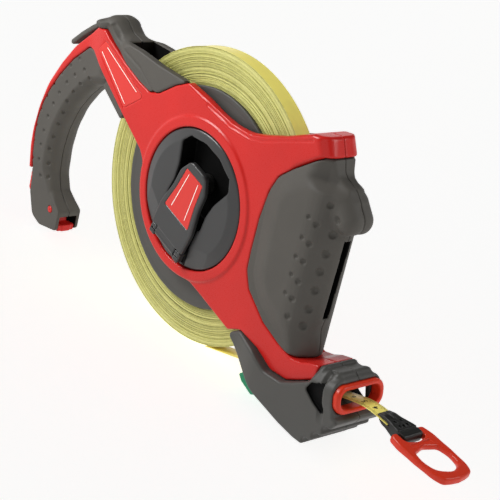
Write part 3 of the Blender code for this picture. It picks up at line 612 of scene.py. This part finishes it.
def corner_cap(side, name):
    def field(x, t, z):
        edge = inside(CORNER, x, z)
        crown = smooth_step(-x, 96, 112)
        above = smooth_step(z + 0.45 * (x + 110), 66, 74)
        value = corner(edge, t - 16.8, 1.2 + 11.5 * crown * above)
        groove = line_distance([(-124, 82), (-114, 75.5), (-106, 72.5), (-81, 65.5), (-63, 55)], x, z)
        value = value + 0.8 * np.maximum(0, 1 - (groove / 1.7) ** 2) * (t > 10)
        value = smooth_max(value, -np.maximum(-104.0 - x, t - 11), 0.5)
        back = line_distance([(-139, 78.5), (-149, 71.5), (-160, 62.5), (-170, 53)], x, z)
        value = smooth_min(value, corner(back - 2.0, t - 11.5, 1.3), 1.0)
        value = np.maximum(value, 0.3 - shell_edge(x, z))
        return smooth_max(value, PARTING - t, 0.4)
    made = solid(
        f"soft_corner_{name}", "grey", "frame", [f"corner_grip_{name}"], (-181, 0, 40), (-28, 17, 89), field, 0.75,
        side=side, looks=["painted_shade"],
    )
    # Painted shade: the cap's inner faces under its thin part, at its inner end, are painted black.
    paint_shade_in(made, lambda x, t, z: (t < 11.2) & (inside(CORNER, x, z) < -0.8) & (x > -104.6))
    strip = arc_outline([(-116.6, 42.3), (-92.5, 26.8), (-91.2, 25.2), (-93.5, 21.5, 1.5), (-118.5, 36.5, 1.5)])

    def trim(x, t, z):
        return smooth_max(corner(inside(strip, x, z), t - 15.9, 0.9), 11.5 - t, 0.4)
    solid(
        f"soft_strip_{name}", "grey", "frame", [f"arm_trim_{name}"], (-120, 11, 20), (-90, 17, 44), trim, 0.7, side=side,
    )


GRIP = arc_outline([
    (107.3, 76.6), (86.3, 60.6, 14), (74.4, 49.8, 10), (69.4, 37.9, 20), (66.4, 17, 30), (65.9, -8, 30), (66.4, -21.8, 8),
    (72.3, -33.6, 6), (92.2, -48.6, 10), (110.1, -55.6, 10), (124, -58.6, 6), (132, -56.5, 2), (133.5, -54, 2),
    (128.5, -37, 10), (130, -29, 20), (132, 28, 10), (132.5, 33, 5), (143.5, 36, 9), (142, 58, 10), (124, 64, 8),
    (115.5, 67.5, 8), (112.3, 77),
])
GRIP_BODY = arc_outline([
    (50, 22), (92, 21.8), (110, 21.6, 10), (118, 19, 12), (125, 12, 14), (130, 6, 12), (132.3, 2, 4), (132.6, -4),
    (50, -4),
])
GRIP_NECK = np.array([
    (50, 24), (92, 24), (96.3, 22.5), (104.4, 16.2), (111.2, 10.4), (117.6, 7.7), (128, 6.3), (128, -4), (50, -4),
], float)
PAD = soft_outline([
    (90, 47), (86, 37), (85, 25), (87, -11), (88, -18), (98, -29), (129, -41), (150, -41), (150, 47), (112, 58),
])
GRIP_DENTS = (
    ([(112, 39), (111, 24), (110, 10), (110, -3), (109, -17)], 2.3, 1.1),
    ([(122.5, 51), (118, 36), (117, 22), (116, 9), (116, -5.5), (115, -18.5), (115, -31.5)], 2.9, 1.4),
    ([(129.5, 43.5), (126.5, 32), (125.5, 18), (125, 5), (125, -8.5), (124.5, -22.5), (124, -35)], 3.6, 1.8),
)
LOBE_START, LOBE_ALONG, LOBE_RADIUS = np.array((120.0, 3.5, 57.5)), np.array((12.0, 0.0, -14.0)), 9.6


def lobe(x, t, z):
    """The rounded finger stop at the top of the front grip, as a bulge about a short line."""
    dx, dt, dz = x - LOBE_START[0], t - LOBE_START[1], z - LOBE_START[2]
    share = np.clip((dx * LOBE_ALONG[0] + dz * LOBE_ALONG[2]) / (LOBE_ALONG @ LOBE_ALONG), 0, 1)
    away = (dx - share * LOBE_ALONG[0]) ** 2 + dt ** 2 + (dz - share * LOBE_ALONG[2]) ** 2
    return np.sqrt(away) - LOBE_RADIUS


def front_grip(side, name):
    def field(x, t, z):
        edge = inside(GRIP, x, z)
        pad = inside(PAD, x, z)
        face = 16.9 + 4.7 * (1 - np.clip(pad / 15, 0, 1))
        face = np.where(np.abs(pad) < 2, face - 0.04 * (2 - np.abs(pad)) ** 2, face)
        value = corner(edge, t - face, 1.2)
        plan = smooth_min(inside(GRIP_BODY, x, t), lobe(x, t, z), 3.5)
        neck = inside(GRIP_NECK, x, t)
        plan = np.where(z > 56, plan + (smooth_max(plan, neck, 4.0) - plan) * smooth_step(z, 56, 64), plan)
        value = smooth_max(value, plan, 2.5)
        slot = np.maximum(np.maximum(t - 2.5, np.abs(z + 0.5) - 28.5), 100 - x)
        value = smooth_max(value, -slot, 0.8)
        value = np.maximum(value, -pack_room(x, t, z))
        return smooth_max(value, PARTING - t, 0.4)
    for spots, radius, depth in GRIP_DENTS:
        field = dent(field, spots, radius, depth)
    made = solid(
        f"soft_front_grip_{name}", "grey", "frame", [f"front_grip_{name}"], (64, 0, -60), (142, 22, 78),
        seats(field, side, GRIP_FACE), 0.62, side=side, looks=["painted_shade"],
    )

    # Painted shade: the faces inside the slot are painted black.
    def in_slot(x, t, z):
        return (t < 3.0) & (t > 0.4) & (np.abs(z + 0.5) < 28.9) & (inside(GRIP, x, z) < -0.7) & (x > 99)
    paint_shade_in(made, in_slot)


# ---------------------------------------------------------------- mouth housing

HOUSING = arc_outline([
    (62, -72, 3), (73, -64.9, 6), (92, -68.9, 12), (107.9, -76.4, 8), (124.1, -75.4, 8), (135.2, -69.4, 4),
    (148.3, -61.2, 3), (148.3, -51.2, 1), (152, -48.5, 2), (154.5, -50.5, 1), (165, -47.5, 3), (170.5, -52, 3),
    (175, -73), (180, -75, 2), (172, -87, 4), (157, -103, 4), (154, -105), (146, -105, 2), (131, -103, 8),
    (104, -97, 8), (98, -95, 3),
])
WINDOW = arc_outline([(146.8, -67.2, 2.2), (150.5, -60.5, 3), (160, -57.5, 2), (166, -77, 1.5), (156, -73, 4)])
BRAKE_ROOM = arc_outline([
    (70, -90), (84, -86.5), (108, -84, 4), (117, -88, 4), (116, -95, 4), (104, -107), (70, -110),
])
BEZEL_CENTRE = (170.3, -62.8)
BEZEL_LEAN = math.radians(-12)


def bezel_place(x, z):
    """(up the face, out of the face) of a point, from the bezel's centre."""
    dx, dz = x - BEZEL_CENTRE[0], z - BEZEL_CENTRE[1]
    c, s = math.cos(BEZEL_LEAN), math.sin(BEZEL_LEAN)
    return dz * c + dx * s, dx * c - dz * s


def oval(a, b, half_a, half_b, radius):
    return corner(np.abs(a) - half_a, np.abs(b) - half_b, radius)


def housing(side, name):
    def field(x, t, z):
        up, out = bezel_place(x, z)
        edge = inside(HOUSING, x, z)
        narrow = smooth_step(z, -62, -50) * smooth_step(x, 138, 150)
        back = smooth_step(-x, -100, -68)
        face = MOUTH_FACE - 6.0 * narrow - 5.2 * back
        value = corner(edge, t - face, 2.2 + 2.5 * narrow)
        waist = np.maximum(0, 1 - ((out + 8.5) / 3.0) ** 2) * smooth_step(x + 0.2 * z, 128, 140) * (t > 12)
        value = value + 2.0 * waist * smooth_step(z, -84, -74)
        collar = corner(oval(t, up, 23.2, 12.6, 10.5), np.abs(out + 3.2) - 4.8, 2.0)
        value = smooth_min(value, collar, 1.4)
        for u, v in ((158.5, -101.5), (166.0, -93.5), (173.0, -85.0)):
            value = smooth_max(value, 3.4 - np.hypot(x - u, z - v), 1.6)
        value = smooth_max(value, -np.maximum(oval(t, up, 22.35, 10.15, 8.8), -3.9 - out), 0.4)
        value = np.maximum(value, -np.maximum(inside(MOUTH_ROOM, x, z), t - 18))
        window_floor = 19.3 if side < 0 else 14.0
        value = smooth_max(value, -np.maximum(inside(WINDOW, x, z), window_floor - t), 0.8)
        value = np.maximum(value, -np.maximum(inside(BRAKE_ROOM, x, z), t - 14.5))
        s, offset = along(x, z)
        channel = np.maximum(np.abs(offset - 0.5) - 4.5, np.abs(s - 85) - 55)
        value = np.maximum(value, -np.maximum(channel, t - 8.5))
        value = np.maximum(value, -pack_room(x, t, z))
        return smooth_max(value, PARTING - t, 0.4)
    made = solid(
        f"mouth_shell_{name}", "mid", "frame", [f"mouth_housing_{name}"], (60, 0, -106), (181, 24, -47),
        seats(field, side, MOUTH_FACE), 0.65, side=side, looks=["painted_shade"],
    )
    # Painted shade: the window's walls are painted black; on the near side the window is a shallow recess whose black
    # stands for the dark room behind it.
    paint_shade_in(made, lambda x, t, z: (inside(WINDOW, x, z) < 0.6) & (t < 21.3) & (t > 14))


MOUTH_ROOM = arc_outline([
    (141, -72), (141, -63), (150, -57.5, 2), (167, -56.5, 1), (182, -56.5), (182, -70.5), (168, -72.5, 1),
])
TAPE_ANGLE = math.radians(14.8)


def along(x, z):
    """(how far along the tape's line from where it leaves the pack, how far outside it) for a point."""
    c, s = math.cos(TAPE_ANGLE), math.sin(TAPE_ANGLE)
    return x * c + z * s, x * s - z * c - 105.0


def bezel():
    def field(x, y, z):
        up, out = bezel_place(x, z)
        bulge = 6.0 - 0.6 * (np.abs(y) / 22) ** 2
        value = corner(oval(y, up, 22.0, 9.8, 8.5), out - bulge, 1.8)
        value = np.maximum(value, -3.4 - out)
        return smooth_max(value, -oval(y, up, 18.2, 6.5, 5.9), 1.4)
    solid("mouth_ring", "orange", "frame", ["mouth_bezel"], (163, -22.5, -75), (180, 22.5, -50), field, 0.55)


# ---------------------------------------------------------------- drum, wound tape and crank

def lathe(name, look, body, nodes, profile, segments=128, **more):
    """A closed profile of (radius, y) points turned about the drum's axis."""
    points, faces = [], []
    count = len(profile)
    for k in range(segments):
        angle = 2 * math.pi * k / segments
        for radius, y in profile:
            points.append((radius * math.cos(angle), y, radius * math.sin(angle)))
    for k in range(segments):
        j = (k + 1) % segments
        for i in range(count):
            n = (i + 1) % count
            faces.append((k * count + i, j * count + i, j * count + n, k * count + n))
    mesh = to_mesh(name, points, faces, crease=30)
    return place_mesh(mesh, name, look, body, nodes, **more)


def rounded_profile(corners, step=20):
    return [tuple(p) for p in arc_outline(corners, step)]


def wound_tape():
    """The pack: each visible turn's edge stands a little in or out of the next."""
    generator = np.random.default_rng(7)
    radii = np.arange(60.3, 104.9, 0.45)
    shift = np.cumsum(generator.normal(0, 0.05, len(radii)))
    shift = shift - np.linspace(shift[0], shift[-1], len(radii))
    steps = generator.normal(0, 0.07, len(radii)) + np.clip(shift, -0.15, 0.15)
    steps -= 0.55 * (generator.random(len(radii)) < 0.26)
    side = []
    for radius, offset in zip(radii, steps):
        y = min(6.5, 6.28 + offset)
        side += [(radius - 0.20, y - 0.10), (radius - 0.1, y), (radius + 0.12, y), (radius + 0.20, y - 0.10)]
    outer = [(104.97, 6.2), (104.97, -6.2)]
    profile = [(60.0, -6.0), (60.0, 6.0)] + side + outer + [(r, -y) for r, y in side[::-1]]
    made = lathe("wound_tape", "side", "reel", ["tape_pack"], profile, 180, looks=["rim"])
    centre = np.array(HUB) * MM
    for face in made.data.polygons:
        place = np.array(face.center) - centre
        if math.hypot(place[0], place[2]) > 0.10490 and abs(place[1]) < 0.0062:
            face.material_index = 1


def flanges():
    for sign, name, hole in ((-1, "near", 45.4), (1, "far", 30.0)):
        profile = rounded_profile([
            (hole, 7.0), (78.5, 7.0, 0.4), (78.5, 9.5, 0.9), (76.0, 9.3, 2), (74, 9.0, 2), (hole, 9.0),
        ])
        profile = [(r, sign * y) for r, y in profile]
        lathe(f"drum_flange_{name}", "mid", "reel", [f"flange_{name}"], profile[::sign * -1], 160)


CRANK_ANGLE = math.radians(73.5)
CRANK_TURN = Matrix.Rotation(-CRANK_ANGLE, 4, "Y")
POCKET = arc_outline([
    (-12, -21, 3), (2, -20, 10), (14, -22, 10), (30, -28.5, 3), (37.5, -23.5, 4), (43, -8, 16), (43, 8, 16),
    (37.5, 23.5, 4), (30, 28.5, 3), (14, 22, 10), (2, 20, 10), (-12, 21, 3),
])
ARM = arc_outline([
    (-42, -12), (-42, -18.5, 3), (-16, -19.5, 8), (2, -15.6, 10), (16, -15, 8), (27.5, -9, 6), (27.5, 9, 6),
    (16, 15, 8), (2, 15.6, 10), (-16, 19.5, 8), (-42, 18.5, 3), (-42, 12),
])


def crank_face():
    """The dished disc with the deep pocket that the crank folds into. Drawn with the crank along +X."""
    def field(x, y, z):
        rho = np.hypot(x, z)
        dome = -20.2 + 0.33 * np.maximum(0, rho - 41)
        beyond = -0.915 * (x + 14) + 0.407 * (np.abs(z) - 46)
        dome = np.maximum(dome, -20.2 + 0.2 * np.maximum(0, beyond))
        value = corner(rho - 49.6, dome - y, 1.2)
        value = np.maximum(value, y + 9.9)
        hub = np.maximum(rho - 45, y + 4.6)
        value = np.where(y > -9.9, hub, np.minimum(value, np.maximum(hub, -y - 12)))
        pocket = inside(POCKET, x, z)
        value = smooth_max(value, -np.maximum(pocket, y + 6.0), 1.3)
        seat = np.maximum(np.maximum(np.abs(z) - 19.2, np.maximum(-43.5 - x, x + 11)), y + 18.6)
        value = smooth_max(value, -seat, 0.8)
        pin = np.hypot(x - KNUCKLE_X, y - KNUCKLE_Y)
        value = np.maximum(value, -np.maximum(pin - 4.2, np.abs(z) - 12.15))
        for sign in (-1, 1):
            lug = np.maximum(np.abs(x - KNUCKLE_X) - 4.0, np.abs(z - sign * 15.15) - 2.85)
            value = smooth_min(value, np.maximum(lug, np.maximum(-y - 24.0, y + 17)), 0.8)
        value = np.maximum(value, -np.maximum(pin - 1.8, np.abs(z) - 17))
        for number in range(3):
            angle = math.radians(60 + 120 * number)
            bolt = np.hypot(x - 36 * math.cos(angle), z - 36 * math.sin(angle))
            value = np.minimum(value, np.maximum(bolt - 4.0, np.maximum(-y - 6, y - 3.2)))
            value = np.maximum(value, -np.maximum(bolt - 1.8, -y - 3.5))
        return value
    made = solid(
        "crank_disc_moulding", "dark", "reel", ["crank_disc"], (-50, -24.5, -50), (50, 3.5, 50), field, 0.75,
        turn=CRANK_TURN, looks=["painted_shade"],
    )
    # Painted shade: the faces inside the pocket and the crank's seat get the black second material.
    centres = np.array([face.center for face in made.data.polygons]) / MM - np.array(HUB)
    drawn = centres @ np.array(CRANK_TURN.to_3x3())
    seat = (drawn[:, 0] > -44.5) & (drawn[:, 0] < -10) & (np.abs(drawn[:, 2]) < 19.9) & (drawn[:, 1] > -19.3)
    deep = (inside(POCKET, drawn[:, 0], drawn[:, 2]) < 0.7) & (drawn[:, 1] > -18.8) | seat
    for face, painted_shade in zip(made.data.polygons, deep):
        face.material_index = int(painted_shade)


def crank_arm():
    label = arc_outline([
        (-15.5, -15, 1.5), (3, -11.6, 10), (21, -10, 1.5), (21, 10, 1.5), (3, 11.6, 10), (-15.5, 15, 1.5),
    ])

    def field(x, y, z):
        edge = inside(ARM, x, z)
        value = corner(edge, -24.4 - y, 1.3)
        value = smooth_max(value, y + 20.6, 0.5)
        value = smooth_max(value, -np.maximum(inside(label, x, z), y + 23.75), 0.3)
        value = np.maximum(value, np.maximum(-34.0 - x, np.abs(z) - 30))
        hinge = np.hypot(x - KNUCKLE_X, y - KNUCKLE_Y)
        width = np.abs(z) - 11.8
        stem = np.maximum(np.maximum(KNUCKLE_X - x, x + 33), np.maximum(width, np.maximum(-24.2 - y, y + 20.6)))
        value = np.minimum(np.minimum(value, stem), np.maximum(width, hinge - 2.8))
        value = np.maximum(value, -np.maximum(hinge - 1.8, np.abs(z) - 13))
        return np.maximum(value, -np.maximum(np.hypot(x - KNOB_AT, z) - 2.1, -23 - y))
    solid(
        "crank_arm_moulding", "dark", "crank", ["crank_arm"], (-43, -24.6, -20), (28.5, -18.5, 20), field, 0.6,
        turn=CRANK_TURN,
    )

    def plate(x, y, z):
        edge = inside(label, x, z) + 0.25
        return np.maximum(corner(edge, -24.25 - y, 0.25), y + 23.85)
    solid(
        "crank_plate", "label", "crank", ["crank_label"], (-16, -24.4, -15.5), (21.5, -23.6, 15.5), plate, 0.35,
        turn=CRANK_TURN,
    )
    lines = [((-11.5, sign * 8.2), (18.5, sign * 5.6), 0.55) for sign in (1, -1)]
    stripes("crank_plate_lines", lines, -24.3, CRANK_TURN, "crank")


def stripes(name, lines, y, turn, body):
    """Thin printed lines, each a flat bar between two points of the XZ plane."""
    points, faces = [], []
    for (x0, z0), (x1, z1), width in lines:
        length = math.hypot(x1 - x0, z1 - z0)
        nx, nz = -(z1 - z0) / length * width / 2, (x1 - x0) / length * width / 2
        start = len(points)
        sign = 1 if y > 0 else -1
        for depth in (y, y - sign * 0.25):
            for x, z, k in ((x0, z0, 1), (x1, z1, 1), (x1, z1, -1), (x0, z0, -1)):
                points.append((x + nx * k, depth, z + nz * k))
        a = start
        quads = [(a, a + 1, a + 2, a + 3), (a + 7, a + 6, a + 5, a + 4)]
        quads += [(a + k, a + k + 4, a + (k + 1) % 4 + 4, a + (k + 1) % 4) for k in range(4)]
        faces += quads if y < 0 else [q[::-1] for q in quads]
    mesh = to_mesh(name, points, faces, turn, smooth=False)
    place_mesh(mesh, name, "white", body)


def arm_labels():
    for side, name in HALVES:
        def plate(x, t, z):
            edge = inside(PANEL, x, z) + 0.5
            return np.maximum(corner(edge, t - 16.25, 0.2), 15.95 - t)
        solid(
            f"arm_plate_{name}", "label", "frame", [f"arm_label_{name}"], (-133, 15.5, 30), (-70, 16.8, 72), plate, 0.4,
            side=side,
        )
        lines = [((-121.5, 66.0), (-80.5, 47.6), 0.5), ((-127.0, 61.2), (-91.0, 34.6), 0.5)]
        stripes(f"arm_plate_lines_{name}", lines, side * 16.35, None, "frame")


# ---------------------------------------------------------------- tape end, clip and pull ring

NUMBER_SHIFT = 2
LEAD_START, LEAD_STRAIGHT_END, LEAD_OFFSET, LEAD_BEND = 66.0, 152.0, 1.4, 62.0
RING_ANGLE = math.radians(-5.5)
BEND_LENGTH = LEAD_BEND * (TAPE_ANGLE - RING_ANGLE)
LEAD_LENGTH = LEAD_STRAIGHT_END - LEAD_START + BEND_LENGTH + 10.0


def lead_point(s, b, h):
    """A point of the tape's free end: s along it, b across it and h above its middle."""
    c, w = math.cos(TAPE_ANGLE), math.sin(TAPE_ANGLE)
    start = np.array((w * (105 + LEAD_OFFSET) + c * LEAD_START, -c * (105 + LEAD_OFFSET) + w * LEAD_START))
    straight = LEAD_STRAIGHT_END - LEAD_START
    angle = TAPE_ANGLE
    place = start + min(s, straight) * np.array((c, w))
    if s > straight:
        turned = min(s - straight, BEND_LENGTH) / LEAD_BEND
        centre = place + np.array((w, -c)) * LEAD_BEND
        angle = TAPE_ANGLE - turned
        place = centre + LEAD_BEND * np.array((-math.sin(angle), math.cos(angle)))
        place = place + max(0, s - straight - BEND_LENGTH) * np.array((math.cos(angle), math.sin(angle)))
    return place[0] - math.sin(angle) * h, b, place[1] + math.cos(angle) * h


def tape_end():
    """The free end as a thin strip with rounded edges, and the scale printed on it."""
    section = [
        (-6.5, 0.0), (-6.42, 0.16), (-6.2, 0.225), (6.2, 0.225), (6.42, 0.16), (6.5, 0.0), (6.42, -0.16), (6.2, -0.225),
        (-6.2, -0.225), (-6.42, -0.16),
    ]
    stations = np.linspace(0, LEAD_LENGTH, 90)
    points = [lead_point(s, b, h) for s in stations for b, h in section]
    n = len(section)
    faces = []
    for k in range(len(stations) - 1):
        faces += [(k * n + i, k * n + (i + 1) % n, (k + 1) * n + (i + 1) % n, (k + 1) * n + i) for i in range(n)]
    faces.append(tuple(range(n))[::-1])
    faces.append(tuple(range((len(stations) - 1) * n, len(stations) * n)))
    place_mesh(to_mesh("tape_end_strip", points, faces, crease=50), "tape_end_strip", "tape", "tape_end", ["tape_lead"])
    marks = range(8, 118)
    print_scale("scale_black", "ink", [mark for mark in marks if mark % 10], range(1, 12))
    print_scale("scale_red", "red_ink", [mark for mark in marks if mark % 10 == 0], ())


def print_scale(name, look, marks, numbers):
    """Tick marks at both edges, and a number at each centimetre, counted from NUMBER_SHIFT + 1."""
    points, faces = [], []

    def patch(s0, s1, b0, b1):
        start = len(points)
        for h in (0.24, 0.20):
            points.extend(lead_point(s, b, h) for s, b in ((s0, b0), (s1, b0), (s1, b1), (s0, b1)))
        faces.append(tuple(start + k for k in range(4)))
        faces.append(tuple(start + k for k in (7, 6, 5, 4)))
        for k in range(4):
            ahead = (k + 1) % 4
            faces.append((start + k + 4, start + ahead + 4, start + ahead, start + k))

    for mark in marks:
        s = LEAD_LENGTH - mark
        half, reach = (0.16, 3.5) if mark % 10 == 0 else (0.12, 3.4) if mark % 5 == 0 else (0.12, 2.2)
        for sign in (-1, 1):
            patch(s - half, s + half, *sorted((sign * 6.1, sign * (6.1 - reach))))
    for number in numbers:
        text = bpy.data.curves.new(f"number {number}", "FONT")
        text.body = str(number + NUMBER_SHIFT)
        text.size = 6.0
        text.offset = 0.1
        text.extrude = 0.02
        text.align_x, text.align_y = "CENTER", "CENTER"
        text.resolution_u = 3
        holder = bpy.data.objects.new(f"number {number}", text)
        bpy.context.scene.collection.objects.link(holder)
        bpy.context.view_layer.update()
        flat = holder.to_mesh()
        start = len(points)
        at = LEAD_LENGTH - number * 10 + 3.2
        for vertex in flat.vertices:
            points.append(lead_point(at - vertex.co.x, -vertex.co.y, 0.235 + vertex.co.z))
        faces.extend([tuple(start + v for v in face.vertices) for face in flat.polygons])
        holder.to_mesh_clear()
        bpy.data.objects.remove(holder)
        bpy.data.curves.remove(text)
    place_mesh(to_mesh(name, points, faces, smooth=False), name, look, "tape_end")


def clip_turn():
    x, _, z = lead_point(LEAD_LENGTH - 10.0, 0, 0)
    return Matrix.Translation((x, 0, z)) @ Matrix.Rotation(-RING_ANGLE, 4, "Y")


def clip_and_ring():
    side_view = arc_outline([
        (-0.5, 0.5), (0, 1.7, 0.5), (5, 3.2, 6), (20, 4.0, 5), (27.2, 3.7, 2), (28.5, 0, 3), (27.2, -3.7, 2),
        (20, -4.0, 5), (5, -3.3, 4), (2, -1.6, 1), (1.5, -0.55), (11, -0.55), (11, 0.5),
    ])
    plan = arc_outline([
        (-1, -5.4, 1), (9, -5.8, 8), (19, -8.6, 8), (28.6, -8.6, 2), (28.6, 8.6, 2), (19, 8.6, 8), (9, 5.8, 8),
        (-1, 5.4, 1),
    ])

    def clip(x, y, z):
        value = smooth_max(inside(side_view, x, z), inside(plan, x, y), 0.7)
        for a, b in ((12.6, -3.0), (12.6, 3.0), (17.6, -3.6), (17.6, 3.6), (17.6, 0.0)):
            square = np.maximum(np.maximum(np.abs(x - a) - 1.5, np.abs(y - b) - 1.1), 2.4 - z)
            value = smooth_max(value, -square, 0.3)
        spine = np.maximum(np.maximum(np.abs(y) - 0.5, np.abs(x - 6.0) - 4.5), np.abs(z - 2.9) - 0.9)
        value = smooth_min(value, spine, 0.4)
        groove = np.maximum(np.abs(x - 21.6) - 0.5, 3.2 - np.abs(z))
        value = smooth_max(value, -groove, 0.3)
        return np.maximum(value, 1.8 - np.hypot(x - RING_PIN, z))
    solid(
        "end_clip_moulding", "black", "tape_end", ["end_clip"], (-1, -8.7, -4.2), (28.8, 8.7, 4.2), clip, 0.38,
        turn=clip_turn(),
    )

    outer = arc_outline([
        (20.5, 14.6, 3), (30, 16.6, 14), (45, 17, 24), (60, 15.6, 12), (67.5, 12.5, 5), (70.5, 0, 26), (67.5, -12.5, 5),
        (60, -15.6, 12), (45, -17, 24), (30, -16.6, 14), (20.5, -14.6, 3), (20.5, -9.2, 1.5), (29.5, -9.2, 3),
        (32.3, 0, 12), (29.5, 9.2, 3), (20.5, 9.2, 1.5),
    ])
    hole = arc_outline([
        (36.6, 0, 6), (40, 10.8, 4), (48, 12.6, 14), (58, 10.6, 8), (63, 0, 9), (58, -10.6, 8), (48, -12.6, 14),
        (40, -10.8, 4),
    ])

    def ring(x, y, z):
        thick = 2.8 - 0.5 * smooth_step(np.abs(x - 46), 20, 5)
        value = corner(inside(outer, x, y), np.abs(z) - thick, 1.9)
        value = smooth_max(value, -inside(hole, x, y), 2.2)
        web = np.maximum(np.maximum(np.abs(y) - 9.0, np.abs(x - 34.2) - 1.4), 1.9 - np.abs(z))
        value = smooth_max(value, -web, 0.5)
        return np.maximum(value, -np.maximum(np.hypot(x - RING_PIN, z) - 1.5, np.abs(y) - 13.8))
    solid(
        "pull_ring_moulding", "orange", "ring", ["pull_ring"], (20, -17.3, -3), (71, 17.3, 3), ring, 0.45,
        turn=clip_turn(),
    )


# ---------------------------------------------------------------- screws, far cover, knob and levers

def screw(name, body, node, centre, low, head_under, head_top, shank, head):
    """A pan head screw along Y, with a cross recess in its head."""
    def field(x, y, z):
        rho = np.hypot(x, z)
        shaft = np.maximum(rho - shank, low - y)
        pan = corner(rho - head, y - head_top + 0.18 * rho ** 2 / head, 0.5)
        value = np.where(y < head_under, shaft, np.minimum(np.maximum(shaft, y - head_under - 0.5), pan))
        u, v, arm = np.abs(x), np.abs(z), head * 0.62
        cross = np.minimum(np.maximum(u - 0.42, v - arm), np.maximum(v - 0.42, u - arm))
        return smooth_max(value, -np.maximum(cross, head_top - 1.5 - y), 0.15)
    turn = Matrix.Translation((centre[0], 0, centre[1]))
    solid(name, "steel", body, [node], (-head, low, -head), (head, head_top, head), field, 0.3, turn=turn)


def screws():
    for number, (x, z, face) in enumerate(SCREWS, 1):
        top = face - 0.5
        node = f"shell_screw_{number}"
        screw(f"frame_screw_{number}", "frame", node, (x, z), -8.0, top - 2.2, top, 1.4, 2.85)
    for number in (1, 2, 3):
        node = f"disc_screw_{number}"
        low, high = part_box(node)
        centre = ((low + high) / 2) / MM - HUB
        screw(f"drum_screw_{number}", "reel", node, (centre.x, centre.z), -3.0, 8.0, 9.3, 1.5, 2.95)


def far_cover():
    """The plain side's cover: a shallow dish with a raised rim, two rings and eight spokes that stand proud."""
    def field(x, y, z):
        rho = np.hypot(x, z)
        angle = np.arctan2(z, x)
        spoke = np.abs(np.sin(4 * angle)) * rho / 4
        top = 17.9 + 0.5 * smooth_step(rho, 43, 46) - 0.35 * smooth_step(rho, 16, 40)
        top = top + 0.45 * (1 - smooth_step(spoke, 0.7, 1.3)) * smooth_step(rho, 13, 15) * (1 - smooth_step(rho, 42, 44))
        top = top + 0.5 * (1 - smooth_step(rho, 11.5, 12.5))
        value = corner(rho - 49.65, y - top, 1.0)
        recess = np.maximum(rho - 8, y - 16.4)
        return np.maximum(np.maximum(value, 14.3 - y), -recess)
    solid("far_cover_moulding", "dark", "frame", ["far_cover"], (-50, 14, -50), (50, 19, 50), field, 0.6)


def levers():
    brake = arc_outline([
        (115, -88, 2), (110, -86.5, 2), (92, -91.5), (84, -91.5), (79, -96, 1), (83, -100, 1), (94, -104.3, 1.5),
        (101, -101, 2), (104, -95), (114, -93.5, 2),
    ])

    def green(x, t, z):
        value = corner(inside(brake, x, z), np.abs(t) - 14, 1.1)
        for u, v in ((81, -98.6), (84.6, -101.0), (88.2, -102.4)):
            value = smooth_max(value, 0.9 - np.hypot(x - u, z - v), 0.4)
        return np.maximum(value, 2.3 - np.hypot(x - BRAKE_PIVOT[0], z - BRAKE_PIVOT[1]))
    solid("brake_lever_moulding", "green", "brake", ["brake_lever"], (78, -14, -105), (116, 14, -86), green, 0.5)
    latch = arc_outline([
        (-202.5, -67, 2), (-192, -66.5, 2), (-188, -75, 3), (-163, -77, 3), (-159, -84), (-157.5, -92), (-151, -93, 1),
        (-151, -98.5, 2), (-156, -99.5, 2), (-166, -90, 3), (-188, -86), (-196, -85.5), (-202.5, -83, 3),
    ])

    def red(x, t, z):
        value = corner(inside(latch, x, z), np.abs(t) - 4.2, 1.0)
        for v in (-71.5, -75, -78.5):
            value = smooth_max(value, 0.9 - np.hypot(x + 202.8, z - v), 0.4)
        foot = corner(corner(np.abs(x + 155.4) - 3.7, np.abs(z + 95.7) - 2.7, 1.4), np.abs(t) - 7.5, 0.8)
        value = smooth_min(value, foot, 0.6)
        return np.maximum(value, 2.8 - np.hypot(x - LATCH_PIVOT[0], z - LATCH_PIVOT[1]))
    solid("latch_moulding", "red", "latch", ["latch_lever"], (-203, -7.6, -102.6), (-150, 7.6, -66), red, 0.5)
    profile = rounded_profile([(0.4, -11.1), (2.72, -11.1, 0.5), (2.72, 11.1, 0.5), (0.4, 11.1)])
    made = lathe("latch_pin_turned", "red", "frame", ["latch_pin"], profile, 40)
    made.data.transform(Matrix.Translation(Vector((LATCH_PIVOT[0], 0, LATCH_PIVOT[1])) * MM))


def knob():
    centre = CRANK_TURN @ Vector((KNOB_AT, 0, 0))
    profile = rounded_profile([
        (2.1, -20.1), (6.6, -20.1, 0.8), (7.4, -18.6, 0.8), (6.2, -14, 4), (7.4, -9.2, 0.8), (6.6, -7.3, 0.8),
        (4.0, -7.3), (4.0, -10.1), (2.1, -10.1),
    ])
    made = lathe("crank_knob_moulding", "black", "knob", ["crank_knob"], profile, 64)
    made.data.transform(Matrix.Translation(centre * MM))


for side, name in HALVES:
    shell(side, name)
    handle(side, name)
    corner_cap(side, name)
    front_grip(side, name)
    housing(side, name)
bezel()
wound_tape()
flanges()
crank_face()
crank_arm()
arm_labels()
tape_end()
clip_and_ring()
screws()
far_cover()
levers()
knob()

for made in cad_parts.values():
    LIT.objects.link(made)
KEPT_LOOKS = {"drum_core": "dark", "brake_pad": "black", "axle_bush": "brass", "tape_run": "tape"}
STEEL = ("axle", "retaining", "guide_pin", "brake_pin", "ring_pin", "crank_hinge", "knob_pin")
for node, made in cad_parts.items():
    look = KEPT_LOOKS.get(node, "steel" if node.startswith(STEEL) else None)
    if look:
        made.data.materials.clear()
        made.data.materials.append(LOOKS[look])
